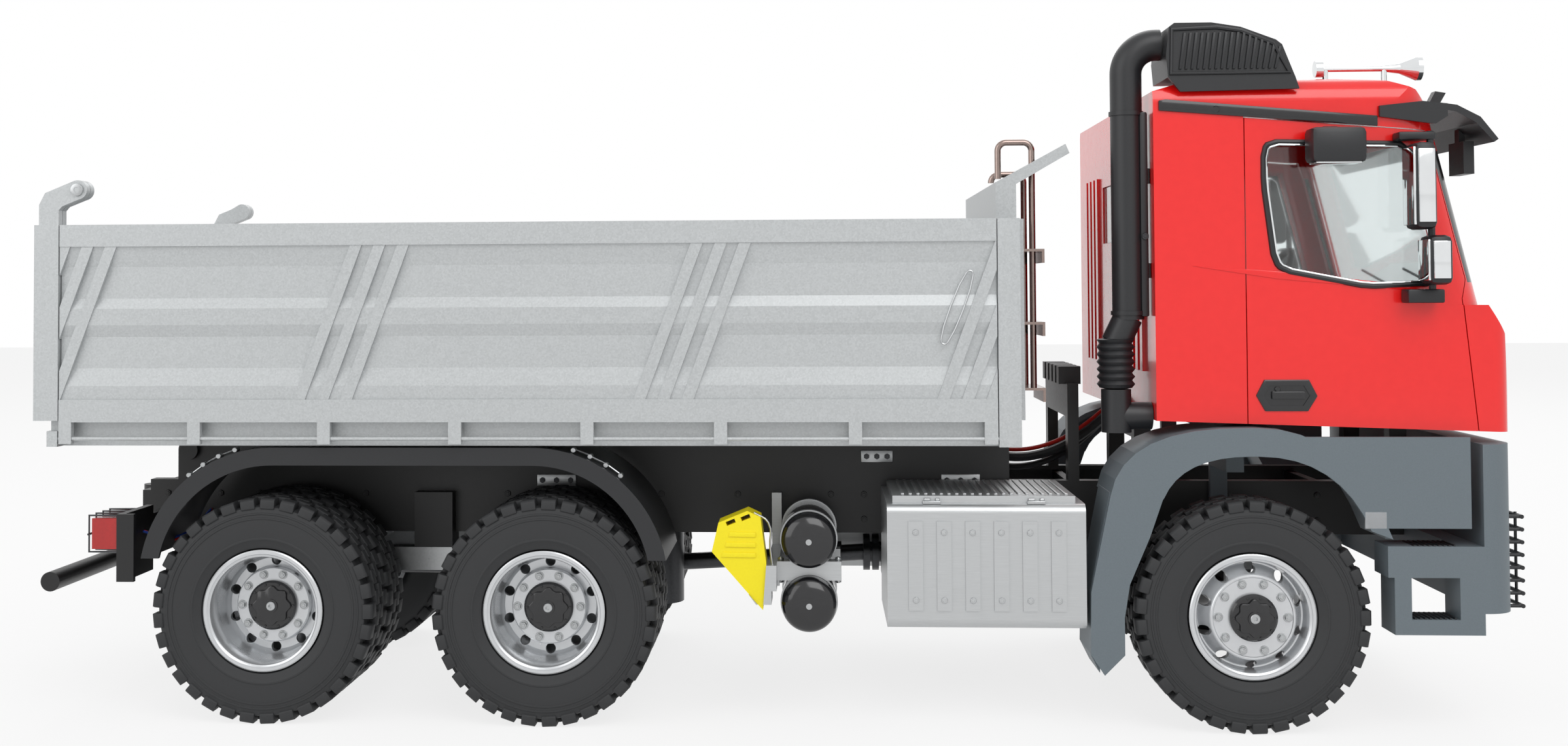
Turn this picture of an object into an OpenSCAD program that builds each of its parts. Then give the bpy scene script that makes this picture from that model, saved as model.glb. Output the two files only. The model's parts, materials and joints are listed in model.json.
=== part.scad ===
// Radio-controlled 1:14 model of a three-axle three-way dump truck.
// Millimetres. +X points forward, +Y to the truck's left, +Z up.
// The origin is on the ground, at the middle of the whole length and width.

/* [Length] */
// Front axle to first rear axle
wheelbase = 235; // [215:1:285]
// Between the two rear axles
bogie_spacing = 96.5; // [92:0.5:116]
// Front axle to the front of the lamp guards
front_overhang = 90.5; // [90:0.5:92]
// Last axle to the back of the tailgate
rear_overhang = 78.5; // [76:0.5:95]

/* [Width] */
// Width over the tyres, mudguards and steps
running_width = 175.2; // [170:0.2:178]
// Width over the load bed's side gates
bed_width = 182; // [180:1:220]
// Width over the cab's side panels
cab_width = 166; // [156:1:170]

/* [Wheels] */
// Outer diameter of a tyre
tyre_diameter = 76.5; // [70:0.5:78]
// Width of one tyre
tyre_width = 22.5; // [19:0.5:23]
// Radius of the rim's flange
rim_flange_radius = 20.7; // [19:0.1:22]
// Gap between the twin tyres
twin_gap = 2; // [1:0.5:4]
// Radius of the stub that a wheel turns on
spindle_radius = 3; // [2.5:0.1:4]
// Distance of a kingpin from the truck's middle plane
kingpin_y = 68; // [67:0.5:69]

/* [Frame] */
// Underside of the frame rails above the ground
frame_bottom = 58; // [57:0.5:60]
// Height of a frame rail
rail_height = 19; // [16:0.5:20]
// Outer face of a frame rail from the middle plane
rail_outer = 31; // [29:0.5:33]
// Width of a frame rail's flanges
rail_flange = 6; // [5:0.5:7]
// Thickness of the rail's sheet
rail_sheet = 1.6; // [1.2:0.1:2]
// Height of the tipping subframe on the rails
subframe_height = 13; // [12:0.5:14]

/* [Load bed] */
// Underside of the bed's floor frame above the ground
bed_bottom = 94.3; // [94.3:0.1:98]
// Height of the floor frame, up to the load floor
floor_height = 9.2; // [8:0.2:12]
// Top of the side gates above the ground
gate_top = 170; // [150:1:185]
// Thickness of a side gate
gate_thickness = 4.5; // [4:0.1:5.5]
// Radius of the rods that the side gates hinge on
hinge_rod_radius = 0.7; // [0.6:0.05:0.9]
// Thickness of the tailgate
tailgate_thickness = 4.5; // [3.5:0.1:5]
// Height of the tailgate's pins above the gate tops
tailgate_pin_rise = 12; // [10:0.5:16]
// Radius of the tailgate's pins
tailgate_pin_radius = 1.5; // [1.2:0.1:2]
// Radius of the tipping pins
tip_pin_radius = 2; // [1.6:0.1:2.4]

/* [Cab] */
// Thickness of the cab's walls and doors
cab_wall = 2.5; // [2:0.1:3]
// Gap around a door
door_gap = 0.35; // [0.3:0.05:0.6]
// Radius of the cab's upright front corners
cab_corner = 12; // [10:1:14]
// Radius of the roof's long edges
roof_edge = 8; // [6:1:10]

/* [Tipping cylinder] */
// Outer radius of the cylinder's barrel
barrel_radius = 11; // [9:0.5:12]
// Wall of each of its tubes
tube_wall = 1.2; // [1:0.1:1.5]
// Radial gap between one tube and the next
tube_gap = 0.6; // [0.4:0.1:0.8]

/* [Tanks and boxes] */
// Radius of the compressed-air tanks
air_tank_radius = 9.3; // [8:0.1:9.5]
// Length of the toolbox
toolbox_length = 65.6; // [50:1:70]
// Length of the fuel tank
fuel_tank_length = 84; // [60:1:88]
// Underside of the toolbox and fuel tank above the ground
box_bottom = 33.9; // [28:0.5:40]

/* [Hidden] */
$fn = 48;

// Clearances
fit = 0.1;          // a pin or shaft in its bore, and a tyre on its rim
seat = 0.2;         // between pieces that are bolted together
running = 0.5;      // between pieces that move past each other

// Places along the truck
half_length = (front_overhang + wheelbase + bogie_spacing + rear_overhang) / 2;
rear_end = -half_length;
front_end = half_length;
x_front = front_end - front_overhang;
x_middle = x_front - wheelbase;
x_rear = x_middle - bogie_spacing;
x_bogie = (x_middle + x_rear) / 2;
axle_z = tyre_diameter / 2;

// Half widths
side = running_width / 2;
bed_side = bed_width / 2;
cab_side = cab_width / 2;

// Wheels
wheel_y = side - tyre_width / 2;
twin_inner_y = wheel_y - tyre_width - twin_gap;
rim_barrel = rim_flange_radius - 0.5;
rim_inner = rim_barrel - 1.6;
hub_bore = spindle_radius + fit;
kingpin_radius = 1.5;
steer_arm_x = -15;                       // steering arm's end behind the front axle
knuckle_half = 7.7;
tie_rod_z = axle_z - knuckle_half - 1.8;

// Frame
frame_top = frame_bottom + rail_height;
rail_inner = rail_outer - rail_flange;
frame_rear = x_rear - 60;
bumper_back = x_front + 74.2;
subframe_top = frame_top + subframe_height;
pivot_x = rear_end + 33.5;
pivot_z = subframe_top - 2;
pivot_ear = 4.5;
bed_front = x_front - 75.15;

// Bed
load_floor = bed_bottom + floor_height;
gate_inner = bed_side - gate_thickness;
frame_side = gate_inner - running;
post_front_back = bed_front - 7.4;       // back of the front corner posts
gate_rear = rear_end + 8.9;
gate_front = post_front_back - door_gap;
hinge_y = bed_side - 1;
hinge_z = bed_bottom + 2.7;
beam_outer = rail_inner - 1;
beam_inner = beam_outer - 6;
tail_front = rear_end + tailgate_thickness;
arm_split = bed_side - 3.1;              // between the post's arm and the tailgate's arm
pin_x = gate_rear + 6.2;
pin_z = gate_top + tailgate_pin_rise;
headboard_x = bed_front - 5;
headboard_thick = 7;
headboard_foot = load_floor - 0.8;
headboard_top = gate_top + 12.6;
canopy_half = 62.5;
ladder_y = [-54, -29];
ladder_x = headboard_x + headboard_thick + 6.4;
ladder_radius = 1.1;

// Tipping cylinder: its trunnion, and the ball under the floor that it pushes
trunnion_x = x_middle + 30;
trunnion_z = frame_bottom + 6;
trunnion_radius = 2.5;
ball_z = bed_bottom - 2.6;
barrel_bottom = trunnion_z - 36;
barrel_top = ball_z - 8;
tube_step = tube_wall + tube_gap;
stage_floor = 2;
rod_radius = barrel_radius - 3 * tube_step;
ball_radius = 3.6;
shaft_y = barrel_radius + 7;             // the driveline passes left of the cylinder
diff_radius = 11;

// Cab, by distance from the front axle
cab_rear = -29.8;
cab_bottom_rear = 102.4;
cab_bottom_front = 98.6;
cab_floor = 105;
nose = 85.8;
screen_foot = [78.6, 140.5];
screen_head = [63, 205.5];
screen_tilt = atan((screen_foot[0] - screen_head[0]) / (screen_head[1] - screen_foot[1]));
door_axis_x = x_front + 75.3;
door_axis_y = cab_side + 0.3;
roof_top = 216.6;

// --- helpers ---------------------------------------------------------------

// Carries a side view (X, Z) across the truck from y0 to y1
module across(y0, y1) {
    translate([0, y1, 0])
        rotate([90, 0, 0])
            linear_extrude(y1 - y0)
                children();
}

// Carries a front view (Y, Z) along the truck from x0 to x1
module along(x0, x1) {
    translate([x0, 0, 0])
        rotate([90, 0, 90])
            linear_extrude(x1 - x0)
                children();
}

module box(x, y, z) {
    translate([x[0], y[0], z[0]])
        cube([x[1] - x[0], y[1] - y[0], z[1] - z[0]]);
}

// A round bar across the truck
module cross_bar(x, z, r, y0, y1) {
    translate([x, y1, z])
        rotate([90, 0, 0])
            cylinder(r = r, h = y1 - y0);
}

module upright(x, y, r, z0, z1) {
    translate([x, y, z0])
        cylinder(r = r, h = z1 - z0);
}

// A round bar between two points
module bar(a, b, r) {
    d = b - a;
    translate(a)
        rotate([0, acos(d[2] / norm(d)), atan2(d[1], d[0])])
            cylinder(r = r, h = norm(d), $fn = min($fn, 24));
}

module both_sides() {
    children();
    mirror([0, 1, 0])
        children();
}

// Left side as drawn, or the right side as its mirror image
module on_side(s) {
    if (s > 0)
        children();
    else
        mirror([0, 1, 0])
            children();
}

// Quarter bend in the XZ plane about a centre, from angle a onwards
module tube_bend(centre, bend, r, a, sides) {
    translate(centre)
        rotate([90, 0, 0])
            rotate([0, 0, a])
                rotate_extrude(angle = 90)
                    translate([bend, 0])
                        circle(r = r, $fn = sides);
}

// Points of a quadratic curve
function curve(a, b, c, n = 8) =
    [for (i = [0 : n]) let (t = i / n) (1 - t) * (1 - t) * a + 2 * t * (1 - t) * b + t * t * c];

// Moves an outline's points forward to the front axle
function from_axle(points) = [for (p = points) [p[0] + x_front, p[1]]];

// --- frame and driveline ----------------------------------------------------

module rail_section() {
    difference() {
        translate([rail_inner, frame_bottom])
            square([rail_flange, rail_height]);
        translate([rail_inner - 1, frame_bottom + rail_sheet])
            square([rail_flange - rail_sheet + 1, rail_height - 2 * rail_sheet]);
    }
}

module crossmember(x, width, z0, z1, half) {
    box([x, x + width], [-half, half], [z0, z1]);
}

module frame_rails() color([0.05, 0.05, 0.05]) {
    both_sides()
        along(frame_rear, bumper_back - seat)
            rail_section();
    for (x = [frame_rear, x_rear + 20, x_middle - 24, x_middle + 58, x_front + 40])
        crossmember(x, 3, frame_bottom + 2, frame_top - 2, rail_outer - rail_sheet + 0.5);
    crossmember(x_front - 50, 3, frame_top - 6, frame_top - 2, rail_outer - rail_sheet + 0.5);
    front_cab_mounts();
    both_sides()
        spring_hangers();
}

// Posts at the front that carry the cab's floor
module front_cab_mounts() {
    both_sides()
        box([x_front + 62, x_front + 68], [rail_inner, rail_outer], [frame_top - 1, cab_bottom_front + 0.4]);
}

// Brackets under the rails that hold the springs
module spring_hangers() {
    for (x = [x_front - 40, x_front + 37])
        box([x, x + 4], [rail_inner, rail_outer], [frame_bottom - 7, frame_bottom + 1]);
    box([x_bogie - 7, x_bogie + 7], [rail_inner, rail_outer + 6], [frame_bottom - 5, frame_bottom + 1]);
    box([x_bogie - 7, x_bogie + 7], [rail_outer - 1, rail_outer + 6], [frame_bottom, frame_top - 4]);
}

module subframe() color([0.07, 0.07, 0.07]) {
    both_sides() {
        box([pivot_x, bed_front + 2], [rail_inner, rail_outer], [frame_top, subframe_top]);
        box([pivot_x - pivot_ear, pivot_x], [rail_inner, rail_outer], [frame_top, pivot_z]);
        cross_bar(pivot_x, pivot_z, pivot_ear, rail_inner, rail_outer);
        cross_bar(pivot_x, pivot_z, tip_pin_radius, beam_inner - 1, rail_outer);
        cross_bar(pivot_x, pivot_z, 3.6, rail_outer - 0.5, rail_outer + 2.5);
    }
    for (x = [pivot_x + 30, x_bogie - 2, x_middle + 58, bed_front - 40, bed_front - 1])
        crossmember(x, 3, frame_top, frame_top + 5, rail_inner + 1);
    both_sides()
        trunnion_bearing();
}

// Bearing block inside each rail that carries the cylinder's trunnion
module trunnion_bearing() {
    difference() {
        union() {
            box([trunnion_x - 6, trunnion_x + 6], [barrel_radius + 2, rail_inner - seat], [trunnion_z - 5, frame_top + 5]);
            box([trunnion_x - 6, trunnion_x + 6], [20, rail_inner + 1], [frame_top, frame_top + 5]);
        }
        cross_bar(trunnion_x, trunnion_z, trunnion_radius + fit, barrel_radius + 1, rail_inner - 2);
    }
}

module driveline() color([0.55, 0.56, 0.57]) {
    gearbox_x = x_front - 118;
    box([gearbox_x, gearbox_x + 26], [-15, shaft_y + 5], [36, 62]);
    box([gearbox_x + 26, x_front - 34], [-13, 13], [43, 70]);
    box([gearbox_x + 2, gearbox_x + 10], [-rail_outer + 3, rail_outer - 3], [frame_bottom + rail_sheet + seat, 66]);
    translate([gearbox_x - 7, shaft_y, 44])
        rotate([0, 90, 0]) {
            cylinder(r = 7, h = 2.5);
            translate([0, 0, 3.5])
                cylinder(r = 7, h = 2.5);
            cylinder(r = 4, h = 8);
        }
    propshaft([gearbox_x - 6, shaft_y, 44], [x_middle + diff_radius + seat, shaft_y, axle_z], 3.2);
    propshaft([x_middle - diff_radius - seat, shaft_y, axle_z], [x_rear + diff_radius + seat, shaft_y, axle_z], 3.2);
    propshaft([x_front - 35, 0, 46], [x_front - diff_radius - 1.2, 0, axle_z + 1], 2.6);
}

// A shaft with a joint at each end
module propshaft(a, b, r) {
    bar(a, b, r);
    for (t = [0.12, 0.88])
        translate(a + t * (b - a))
            rotate([0, 90, 0])
                cylinder(r = r + 1.6, h = 5, center = true, $fn = 24);
}

// --- axles and springs -------------------------------------------------------

module rear_axle(x) {
    cross_bar(x, axle_z, 5, -twin_inner_y + 2, twin_inner_y - 2);
    cross_bar(x, axle_z, spindle_radius, -wheel_y + 8, wheel_y - 8);
    translate([x, shaft_y, axle_z])
        sphere(r = diff_radius);
    both_sides()
        box([x - 5, x + 5], [rail_outer - 4, rail_outer + 5], [axle_z, axle_z + 6]);
}

module front_axle() {
    cross_bar(x_front, axle_z, 4.5, -kingpin_y + 6.5, kingpin_y - 6.5);
    translate([x_front, 0, axle_z])
        sphere(r = diff_radius);
    both_sides() {
        box([x_front - 5, x_front + 5], [rail_inner, rail_outer], [axle_z, axle_z + 7]);
        steering_yoke();
    }
}

// Fork at the axle's end with the kingpin between its two ears
module steering_yoke() {
    box([x_front - 3.5, x_front + 3.5], [kingpin_y - 8, kingpin_y - 5.5], [axle_z - 10.5, axle_z + 10.5]);
    for (z = [axle_z - 10.5, axle_z + knuckle_half + 0.3])
        box([x_front - 3.5, x_front + 3.5], [kingpin_y - 6, kingpin_y + 4], [z, z + 2.5]);
    upright(x_front, kingpin_y, kingpin_radius, axle_z - 10, axle_z + 10);
}

module axles() color([0.12, 0.12, 0.13]) {
    front_axle();
    rear_axle(x_middle);
    rear_axle(x_rear);
}

// Flat leaves, each a step shorter than the last, from the longest at level 0 or at the top
module spring_pack(x, y, z, longest, leaves, step, longest_on_top) {
    for (i = [0 : leaves - 1]) {
        level = longest_on_top ? leaves - 1 - i : i;
        box([x - longest / 2 + i * step, x + longest / 2 - i * step], y, [z + level * leaf, z + (level + 1) * leaf]);
    }
}

leaf = 1.4;

module leaf_springs() color([0.3, 0.3, 0.31]) {
    both_sides() {
        spring_pack(x_front, [rail_inner + 0.3, rail_outer - 0.3], axle_z + 7 + fit, 80, 4, 9, true);
        spring_pack(x_bogie, [rail_outer - 3, rail_outer + 4], axle_z + 6 + fit, bogie_spacing, 6, 6, false);
    }
}

module knuckle(s) color([0.2, 0.2, 0.2]) {
    on_side(s)
        difference() {
            union() {
                box([x_front - 4, x_front + 4], [kingpin_y - 3.5, kingpin_y + 4], [axle_z - knuckle_half, axle_z + knuckle_half]);
                cross_bar(x_front, axle_z, spindle_radius, kingpin_y + 3, wheel_y + 5);
                translate([x_front, kingpin_y, axle_z - knuckle_half])
                    linear_extrude(2.5)
                        polygon([[-3.9, 2.5], [-3.9, -1.5], [-10, -5], [-14, -9.5], [-18, -8], [-17.5, -4], [-10, 0.5]]);
            }
            upright(x_front, kingpin_y, kingpin_radius + fit, 0, 2 * axle_z);
        }
}

module tie_rod() color([0.25, 0.25, 0.26]) {
    cross_bar(x_front + steer_arm_x, tie_rod_z, 1.2, -kingpin_y + 6.5, kingpin_y - 6.5);
    both_sides()
        upright(x_front + steer_arm_x, kingpin_y - 6.5, 2.4, tie_rod_z - 1.4, tie_rod_z + 1.5);
}

// --- wheels --------------------------------------------------------------------

// Turns a profile of radius against width about an axle at x, with its middle at y
module turned(x, y) {
    translate([x, y, axle_z])
        rotate([-90, 0, 0])
            rotate_extrude($fn = 96)
                children();
}

module tyre(x, y) {
    r = tyre_diameter / 2;
    w = tyre_width / 2;
    bead = rim_barrel + fit;
    turned(x, y)
        polygon([
            [bead, -w + 3.6], [bead + 3.6, -w + 1], [r - 8, -w], [r - 3, -w + 0.3], [r, -w + 1.8],
            [r, w - 1.8], [r - 3, w - 0.3], [r - 8, w], [bead + 3.6, w - 1], [bead, w - 3.6]
        ]);
}

// The rim's barrel with a flange at each edge
module rim_barrel_ring(x, y) {
    w = tyre_width / 2 - 1.1;
    turned(x, y)
        polygon([
            [rim_inner, -w], [rim_flange_radius, -w], [rim_flange_radius, -w + 1.1], [rim_barrel, -w + 1.1],
            [rim_barrel, w - 1.1], [rim_flange_radius, w - 1.1], [rim_flange_radius, w], [rim_inner, w]
        ]);
}

module hand_holes(x, radius, hole, y0, y1) {
    for (i = [0 : 9])
        rotate_about_axle(x, i * 36)
            cross_bar(x + radius, axle_z, hole, y0, y1);
}

module rotate_about_axle(x, angle) {
    translate([x, 0, axle_z])
        rotate([0, angle, 0])
            translate([-x, 0, -axle_z])
                children();
}

module front_rim() {
    face = wheel_y + 10.2;
    difference() {
        union() {
            rim_barrel_ring(x_front, wheel_y);
            turned(x_front, wheel_y)
                polygon([
                    [0, 8.2], [13, 8.2], [16.2, 5.4], [rim_inner + 0.2, 3], [rim_inner + 0.2, 5], [16.6, 7.6],
                    [13.5, 10.2], [0, 10.2]
                ]);
            cross_bar(x_front, axle_z, 6.5, kingpin_y + 5.5, face - 0.5);
            cross_bar(x_front, axle_z, 7.8, face - 0.5, face + 3.6);
        }
        cross_bar(x_front, axle_z, hub_bore, kingpin_y + 5, wheel_y + 5.3);
        hand_holes(x_front, 15.9, 1.5, wheel_y + 3, face + 1);
    }
}

module twin_rims(x) {
    dish = wheel_y - 6;
    difference() {
        union() {
            rim_barrel_ring(x, wheel_y);
            rim_barrel_ring(x, twin_inner_y);
            cross_bar(x, axle_z, rim_inner + 0.2, dish - 2, dish);
            cross_bar(x, axle_z, rim_inner + 0.2, twin_inner_y + 5, twin_inner_y + 7);
            cross_bar(x, axle_z, 12.9, twin_inner_y + 5, dish + 3.6);
            cross_bar(x, axle_z, 8.5, dish + 3.5, dish + 6.4);
            cross_bar(x, axle_z, 8, twin_inner_y - 0.5, twin_inner_y + 6);
        }
        cross_bar(x, axle_z, hub_bore, twin_inner_y - 1, wheel_y - 8 + 0.3);
        hand_holes(x, 15.8, 1.6, twin_inner_y + 4, dish + 1);
    }
}

module tyre_front(s) color([0.22, 0.22, 0.23])
    on_side(s)
        tyre(x_front, wheel_y);

module rim_front(s) color([0.78, 0.79, 0.8])
    on_side(s)
        front_rim();

module tyres_twin(x, s) color([0.22, 0.22, 0.23])
    on_side(s) {
        tyre(x, wheel_y);
        tyre(x, twin_inner_y);
    }

module rims_twin(x, s) color([0.78, 0.79, 0.8])
    on_side(s)
        twin_rims(x);

// --- rear of the chassis ----------------------------------------------------------

mudguard_top = bed_bottom - 0.6;
mudguard_radius = 46;
mudguard_foot = 56;

// Side view of the long arch over both rear wheels, as thick as the band asks
module mudguard_arch(band) {
    z = mudguard_top - mudguard_radius;
    x0 = x_rear + 3.25;
    x1 = x_middle - 3.75;
    difference() {
        union() {
            translate([x0, z])
                circle(r = mudguard_radius, $fn = 96);
            translate([x1, z])
                circle(r = mudguard_radius, $fn = 96);
            translate([x0, z])
                square([x1 - x0, mudguard_radius]);
        }
        translate([x0, z])
            circle(r = mudguard_radius - band, $fn = 96);
        translate([x1, z])
            circle(r = mudguard_radius - band, $fn = 96);
        translate([x0, z - mudguard_radius])
            square([x1 - x0, 2 * mudguard_radius - band]);
        translate([x0 - 2 * mudguard_radius, mudguard_foot - 200])
            square([x1 - x0 + 4 * mudguard_radius, 200]);
    }
}

module mudguards() color([0.16, 0.16, 0.17]) {
    both_sides() {
        across(twin_inner_y - 12, side)
            mudguard_arch(1.6);
        across(side - 1.6, side)
            mudguard_arch(6);
        for (x = [x_rear + 6, x_middle - 10])
            box([x, x + 4], [rail_outer + seat, twin_inner_y - 11], [mudguard_top - 5, mudguard_top - 1]);
    }
}

underrun_radius = 3.35;
underrun_x = rear_end + underrun_radius + 0.6;
underrun_z = 47.6;
hitch_bore = 1.75;
hitch_x = frame_rear - 9;

module rear_underrun() color([0.09, 0.09, 0.09]) {
    cross_bar(underrun_x, underrun_z, underrun_radius, -side + 2, side - 2);
    both_sides() {
        across(20, 24)
            polygon([
                [underrun_x - 1, underrun_z - 2], [underrun_x - 1, underrun_z + 2],
                [frame_rear - 0.5, frame_top - 6], [frame_rear - 0.5, frame_bottom - 6]
            ]);
        lamp_carrier();
    }
    box([frame_rear - 3, frame_rear], [-rail_outer, rail_outer], [frame_bottom - 2, frame_top - 4]);
    hitch();
}

// Tow jaw with an upright pin hole
module hitch() {
    z = frame_bottom + 3;
    difference() {
        union() {
            upright(hitch_x, 0, 5, z, z + 3);
            upright(hitch_x, 0, 5, z + 8, z + 11);
            box([hitch_x, frame_rear - 2.9], [-5, 5], [z, z + 3]);
            box([hitch_x, frame_rear - 2.9], [-5, 5], [z + 8, z + 11]);
        }
        upright(hitch_x, 0, hitch_bore, z - 1, z + 12);
    }
}

lamp_x = x_rear - 50.5;

// Black plate and cheek that carry a rear lamp, on an arm from the rail
module lamp_carrier() {
    box([lamp_x, lamp_x + 2.5], [60, side], [48, 71]);
    box([lamp_x, lamp_x + 6], [side - 1.8, side], [48, 71]);
    box([lamp_x, lamp_x + 2.5], [rail_outer + seat, 61], [60, 68]);
}

module rear_lamps() color([0.7, 0.08, 0.08])
    both_sides()
        box([lamp_x - 9, lamp_x - seat], [66, side - 1], [59, 69.5]);

// --- equipment along the sides ----------------------------------------------------

air_tank_x = x_front - 145.7;
air_tank_z = [40.6, 62];
air_tank_inner = 36;

module air_tanks() color([0.08, 0.08, 0.08])
    for (z = air_tank_z) {
        cross_bar(air_tank_x, z, air_tank_radius, -side + 4, -air_tank_inner);
        cross_bar(air_tank_x, z, air_tank_radius - 1.5, -side + 3, -side + 4.1);
    }

// Saddle between the tanks with its arm to the rail, and the tray that holds the chocks
module tank_brackets() color([0.72, 0.73, 0.74]) {
    middle = (air_tank_z[0] + air_tank_z[1]) / 2;
    difference() {
        union() {
            box([air_tank_x - 10.5, air_tank_x + 11], [-side + 10, -side + 16], [middle - 3.2, middle + 3.2]);
            box([air_tank_x - 10.5, air_tank_x + 11], [-air_tank_inner - 12, -air_tank_inner - 6], [middle - 3.2, middle + 3.2]);
            box([air_tank_x - 13.5, air_tank_x - 10], [-side + 10, -rail_outer - seat], [middle - 3.2, middle + 3.2]);
            box([air_tank_x - 13.5, air_tank_x - 10], [-rail_outer - 5, -rail_outer - seat], [middle - 3.2, frame_top - 4]);
        }
        for (z = air_tank_z)
            cross_bar(air_tank_x, z, air_tank_radius + fit, -side, -air_tank_inner + 10);
    }
    chock_tray();
}

chock_y = [-side + 1.5, -side + 13.5];

module chock_outline() {
    polygon(from_axle([[-175.9, 68.6], [-166.2, 72.6], [-161.8, 70.5], [-159.9, 54.9], [-161.1, 39.5], [-178.2, 58.9]]));
}

// Tray open at the top, in the wedge's own shape
module chock_tray() {
    intersection() {
        across(chock_y[0] - 1.2, chock_y[1] + 1.2)
            difference() {
                polygon(from_axle([[-172.8, 54.5], [-158.2, 54.5], [-158.2, 41.5], [-163.4, 41.5]]));
                chock_outline();
            }
        box([x_front - 200, x_front - 100], [-side, 0], [0, 100]);
    }
    box([x_front - 159.6, x_front - 156.5], [chock_y[0] - 1.2, chock_y[1] + 1.2], [46, 54.5]);
    box([x_front - 159.6, x_front - 155.7], [chock_y[1] - 2, chock_y[1] + 1.2], [46, 53]);
}

module wheel_chocks() color([0.96, 0.89, 0.05])
    across(chock_y[0], chock_y[1])
        difference() {
            chock_outline();
            for (i = [0, 1])
                translate([x_front - 173 + i * 5, 67.5 + i * 1.6])
                    rotate([0, 0, 22])
                        square([3.2, 1.4]);
        }

toolbox_front = x_front - 54;
toolbox_back = toolbox_front - toolbox_length;
toolbox_lid = frame_top - 1.9;

module rounded_box_section(y0, y1, z0, z1, r) {
    for (z = [z0 + r, z1 - r])
        translate([y1 - r, z])
            circle(r = r);
    translate([y1 - r, z0 + r])
        square([r, z1 - z0 - 2 * r]);
    translate([y0, z0])
        square([y1 - y0 - r, z1 - z0]);
}

module toolbox() color([0.8, 0.81, 0.82])
    mirror([0, 1, 0]) {
        difference() {
            along(toolbox_back, toolbox_front)
                rounded_box_section(rail_outer + seat, side - 0.6, box_bottom, toolbox_lid, 3);
            box([toolbox_back + 2, toolbox_front - 2], [rail_outer + 2, side - 2.6], [box_bottom + 2, toolbox_lid - 2]);
        }
        rib_pitch = (toolbox_length - 9) / 6;
        for (i = [0 : 5])
            box([toolbox_back + 7 + i * rib_pitch, toolbox_back + 11.8 + i * rib_pitch], [side - 0.7, side],
                [box_bottom + 6, toolbox_lid - 5.6]);
        box([toolbox_back + 2, toolbox_front - 3], [rail_outer + 2, side - 4], [toolbox_lid, toolbox_lid + 2.4]);
    }

module fuel_tank() color([0.8, 0.81, 0.82]) {
    back = toolbox_front - fuel_tank_length;
    along(back, toolbox_front)
        rounded_box_section(rail_outer + 4, side - 0.6, box_bottom + 2, toolbox_lid, 9);
    for (t = [0.22, 0.78])
        translate([back + t * fuel_tank_length, 0, 0])
            box([-3, 3], [rail_outer + seat, rail_outer + 4.1], [box_bottom + 8, frame_top - 3]);
    upright(back + 14, side - 16, 6, toolbox_lid - 0.1, toolbox_lid + 3);
}

// --- front chassis trim -------------------------------------------------------------

fender_skin = 1.8;
arch_outer = concat(curve([-46, 78], [-42, 101.2], [0, 100.4]), curve([2, 100.4], [32.3, 100.4], [45.2, 64]));
arch_inner = concat(curve([38.3, 66.7], [28.3, 91], [2.3, 91]), curve([0, 91], [-22.7, 91], [-28.7, 77]));
arch_under = concat(curve([43.4, 64], [31, 98.6], [2, 98.6]), curve([0, 98.6], [-40, 99.4], [-44.2, 78]));

module fender_side() {
    polygon(from_axle(concat(arch_outer, arch_inner)));
    polygon(from_axle([[16.5, 97.4], [70.3, 97.4], [70.3, 67.6], [42.6, 67.6], [39.4, 75], [35, 82], [28, 90],
        [24.5, 93]]));
    flap_side();
}

module flap_side() {
    polygon(from_axle([
        [-46, 78], [-28.7, 77.5], [-33.3, 64.4], [-40, 48.9], [-41.8, 38], [-41.8, 25.7],
        [-48.5, 19], [-53, 26], [-52.6, 46.3]
    ]));
}

module front_fenders() color([0.44, 0.48, 0.5])
    both_sides() {
        across(side - 2, side)
            fender_side();
        across(58, side - 1.9)
            polygon(from_axle(concat(arch_outer, arch_under)));
        across(62, side - 1.9)
            polygon(from_axle([[-46, 79], [-43, 79], [-49.4, 46.3], [-49.8, 19.5], [-53, 26], [-52.6, 46.3]]));
        box([x_front - 2, x_front + 4], [rail_outer + seat, 59], [frame_top + 6, frame_top + 10]);
        box([x_front - 2, x_front + 4], [56, 59.5], [frame_top + 6, 99.4]);
        box([x_front - 2, x_front + 4], [rail_outer + seat, rail_outer + 3], [frame_top - 8, frame_top + 10]);
    }

module entry_steps() color([0.3, 0.32, 0.33])
    both_sides() {
        box([x_front + 43.4, bumper_back], [73, side], [51.6, 61.8]);
        difference() {
            box([x_front + 45.4, bumper_back], [73, side], [33, 51.6]);
            box([x_front + 50.8, x_front + 66.3], [72, side + 1], [38, 51.6]);
        }
        box([x_front + 66.5, bumper_back - seat], [rail_outer + seat, 73.1], [58, 61.8]);
    }

lamp_y = [55, 76.4];
lamp_z = [44, 68];
bumper_front = bumper_back + 11;

module bumper() color([0.44, 0.48, 0.5])
    difference() {
        translate([0, 0, 40])
            linear_extrude(55)
                bumper_plan();
        both_sides()
            box([bumper_back + 5, bumper_front + 1], lamp_y, lamp_z);
        box([bumper_back + 6, bumper_front + 1], [-34, 34], [62, 80]);
        translate([bumper_back + 6, 0, 50])
            rotate([0, 90, 0])
                cylinder(r = tow_eye_radius, h = 10);
    }

tow_eye_radius = 2;

module bumper_plan() {
    translate([bumper_back, -side])
        square([1, 2 * side]);
    translate([bumper_back, -side + 10])
        square([bumper_front - bumper_back, 2 * side - 20]);
    for (s = [-1, 1])
        translate([bumper_back + 1, s * (side - 10)])
            intersection() {
                circle(r = 10);
                translate([0, -10])
                    square([10, 20]);
            }
}

module head_lamps() color([0.9, 0.92, 0.95])
    both_sides()
        box([bumper_back + 5 + seat, bumper_front - 0.6], [lamp_y[0] + seat, lamp_y[1] - seat], [lamp_z[0] + seat, lamp_z[1] - seat]);

guard_wire = 0.7;

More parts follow.
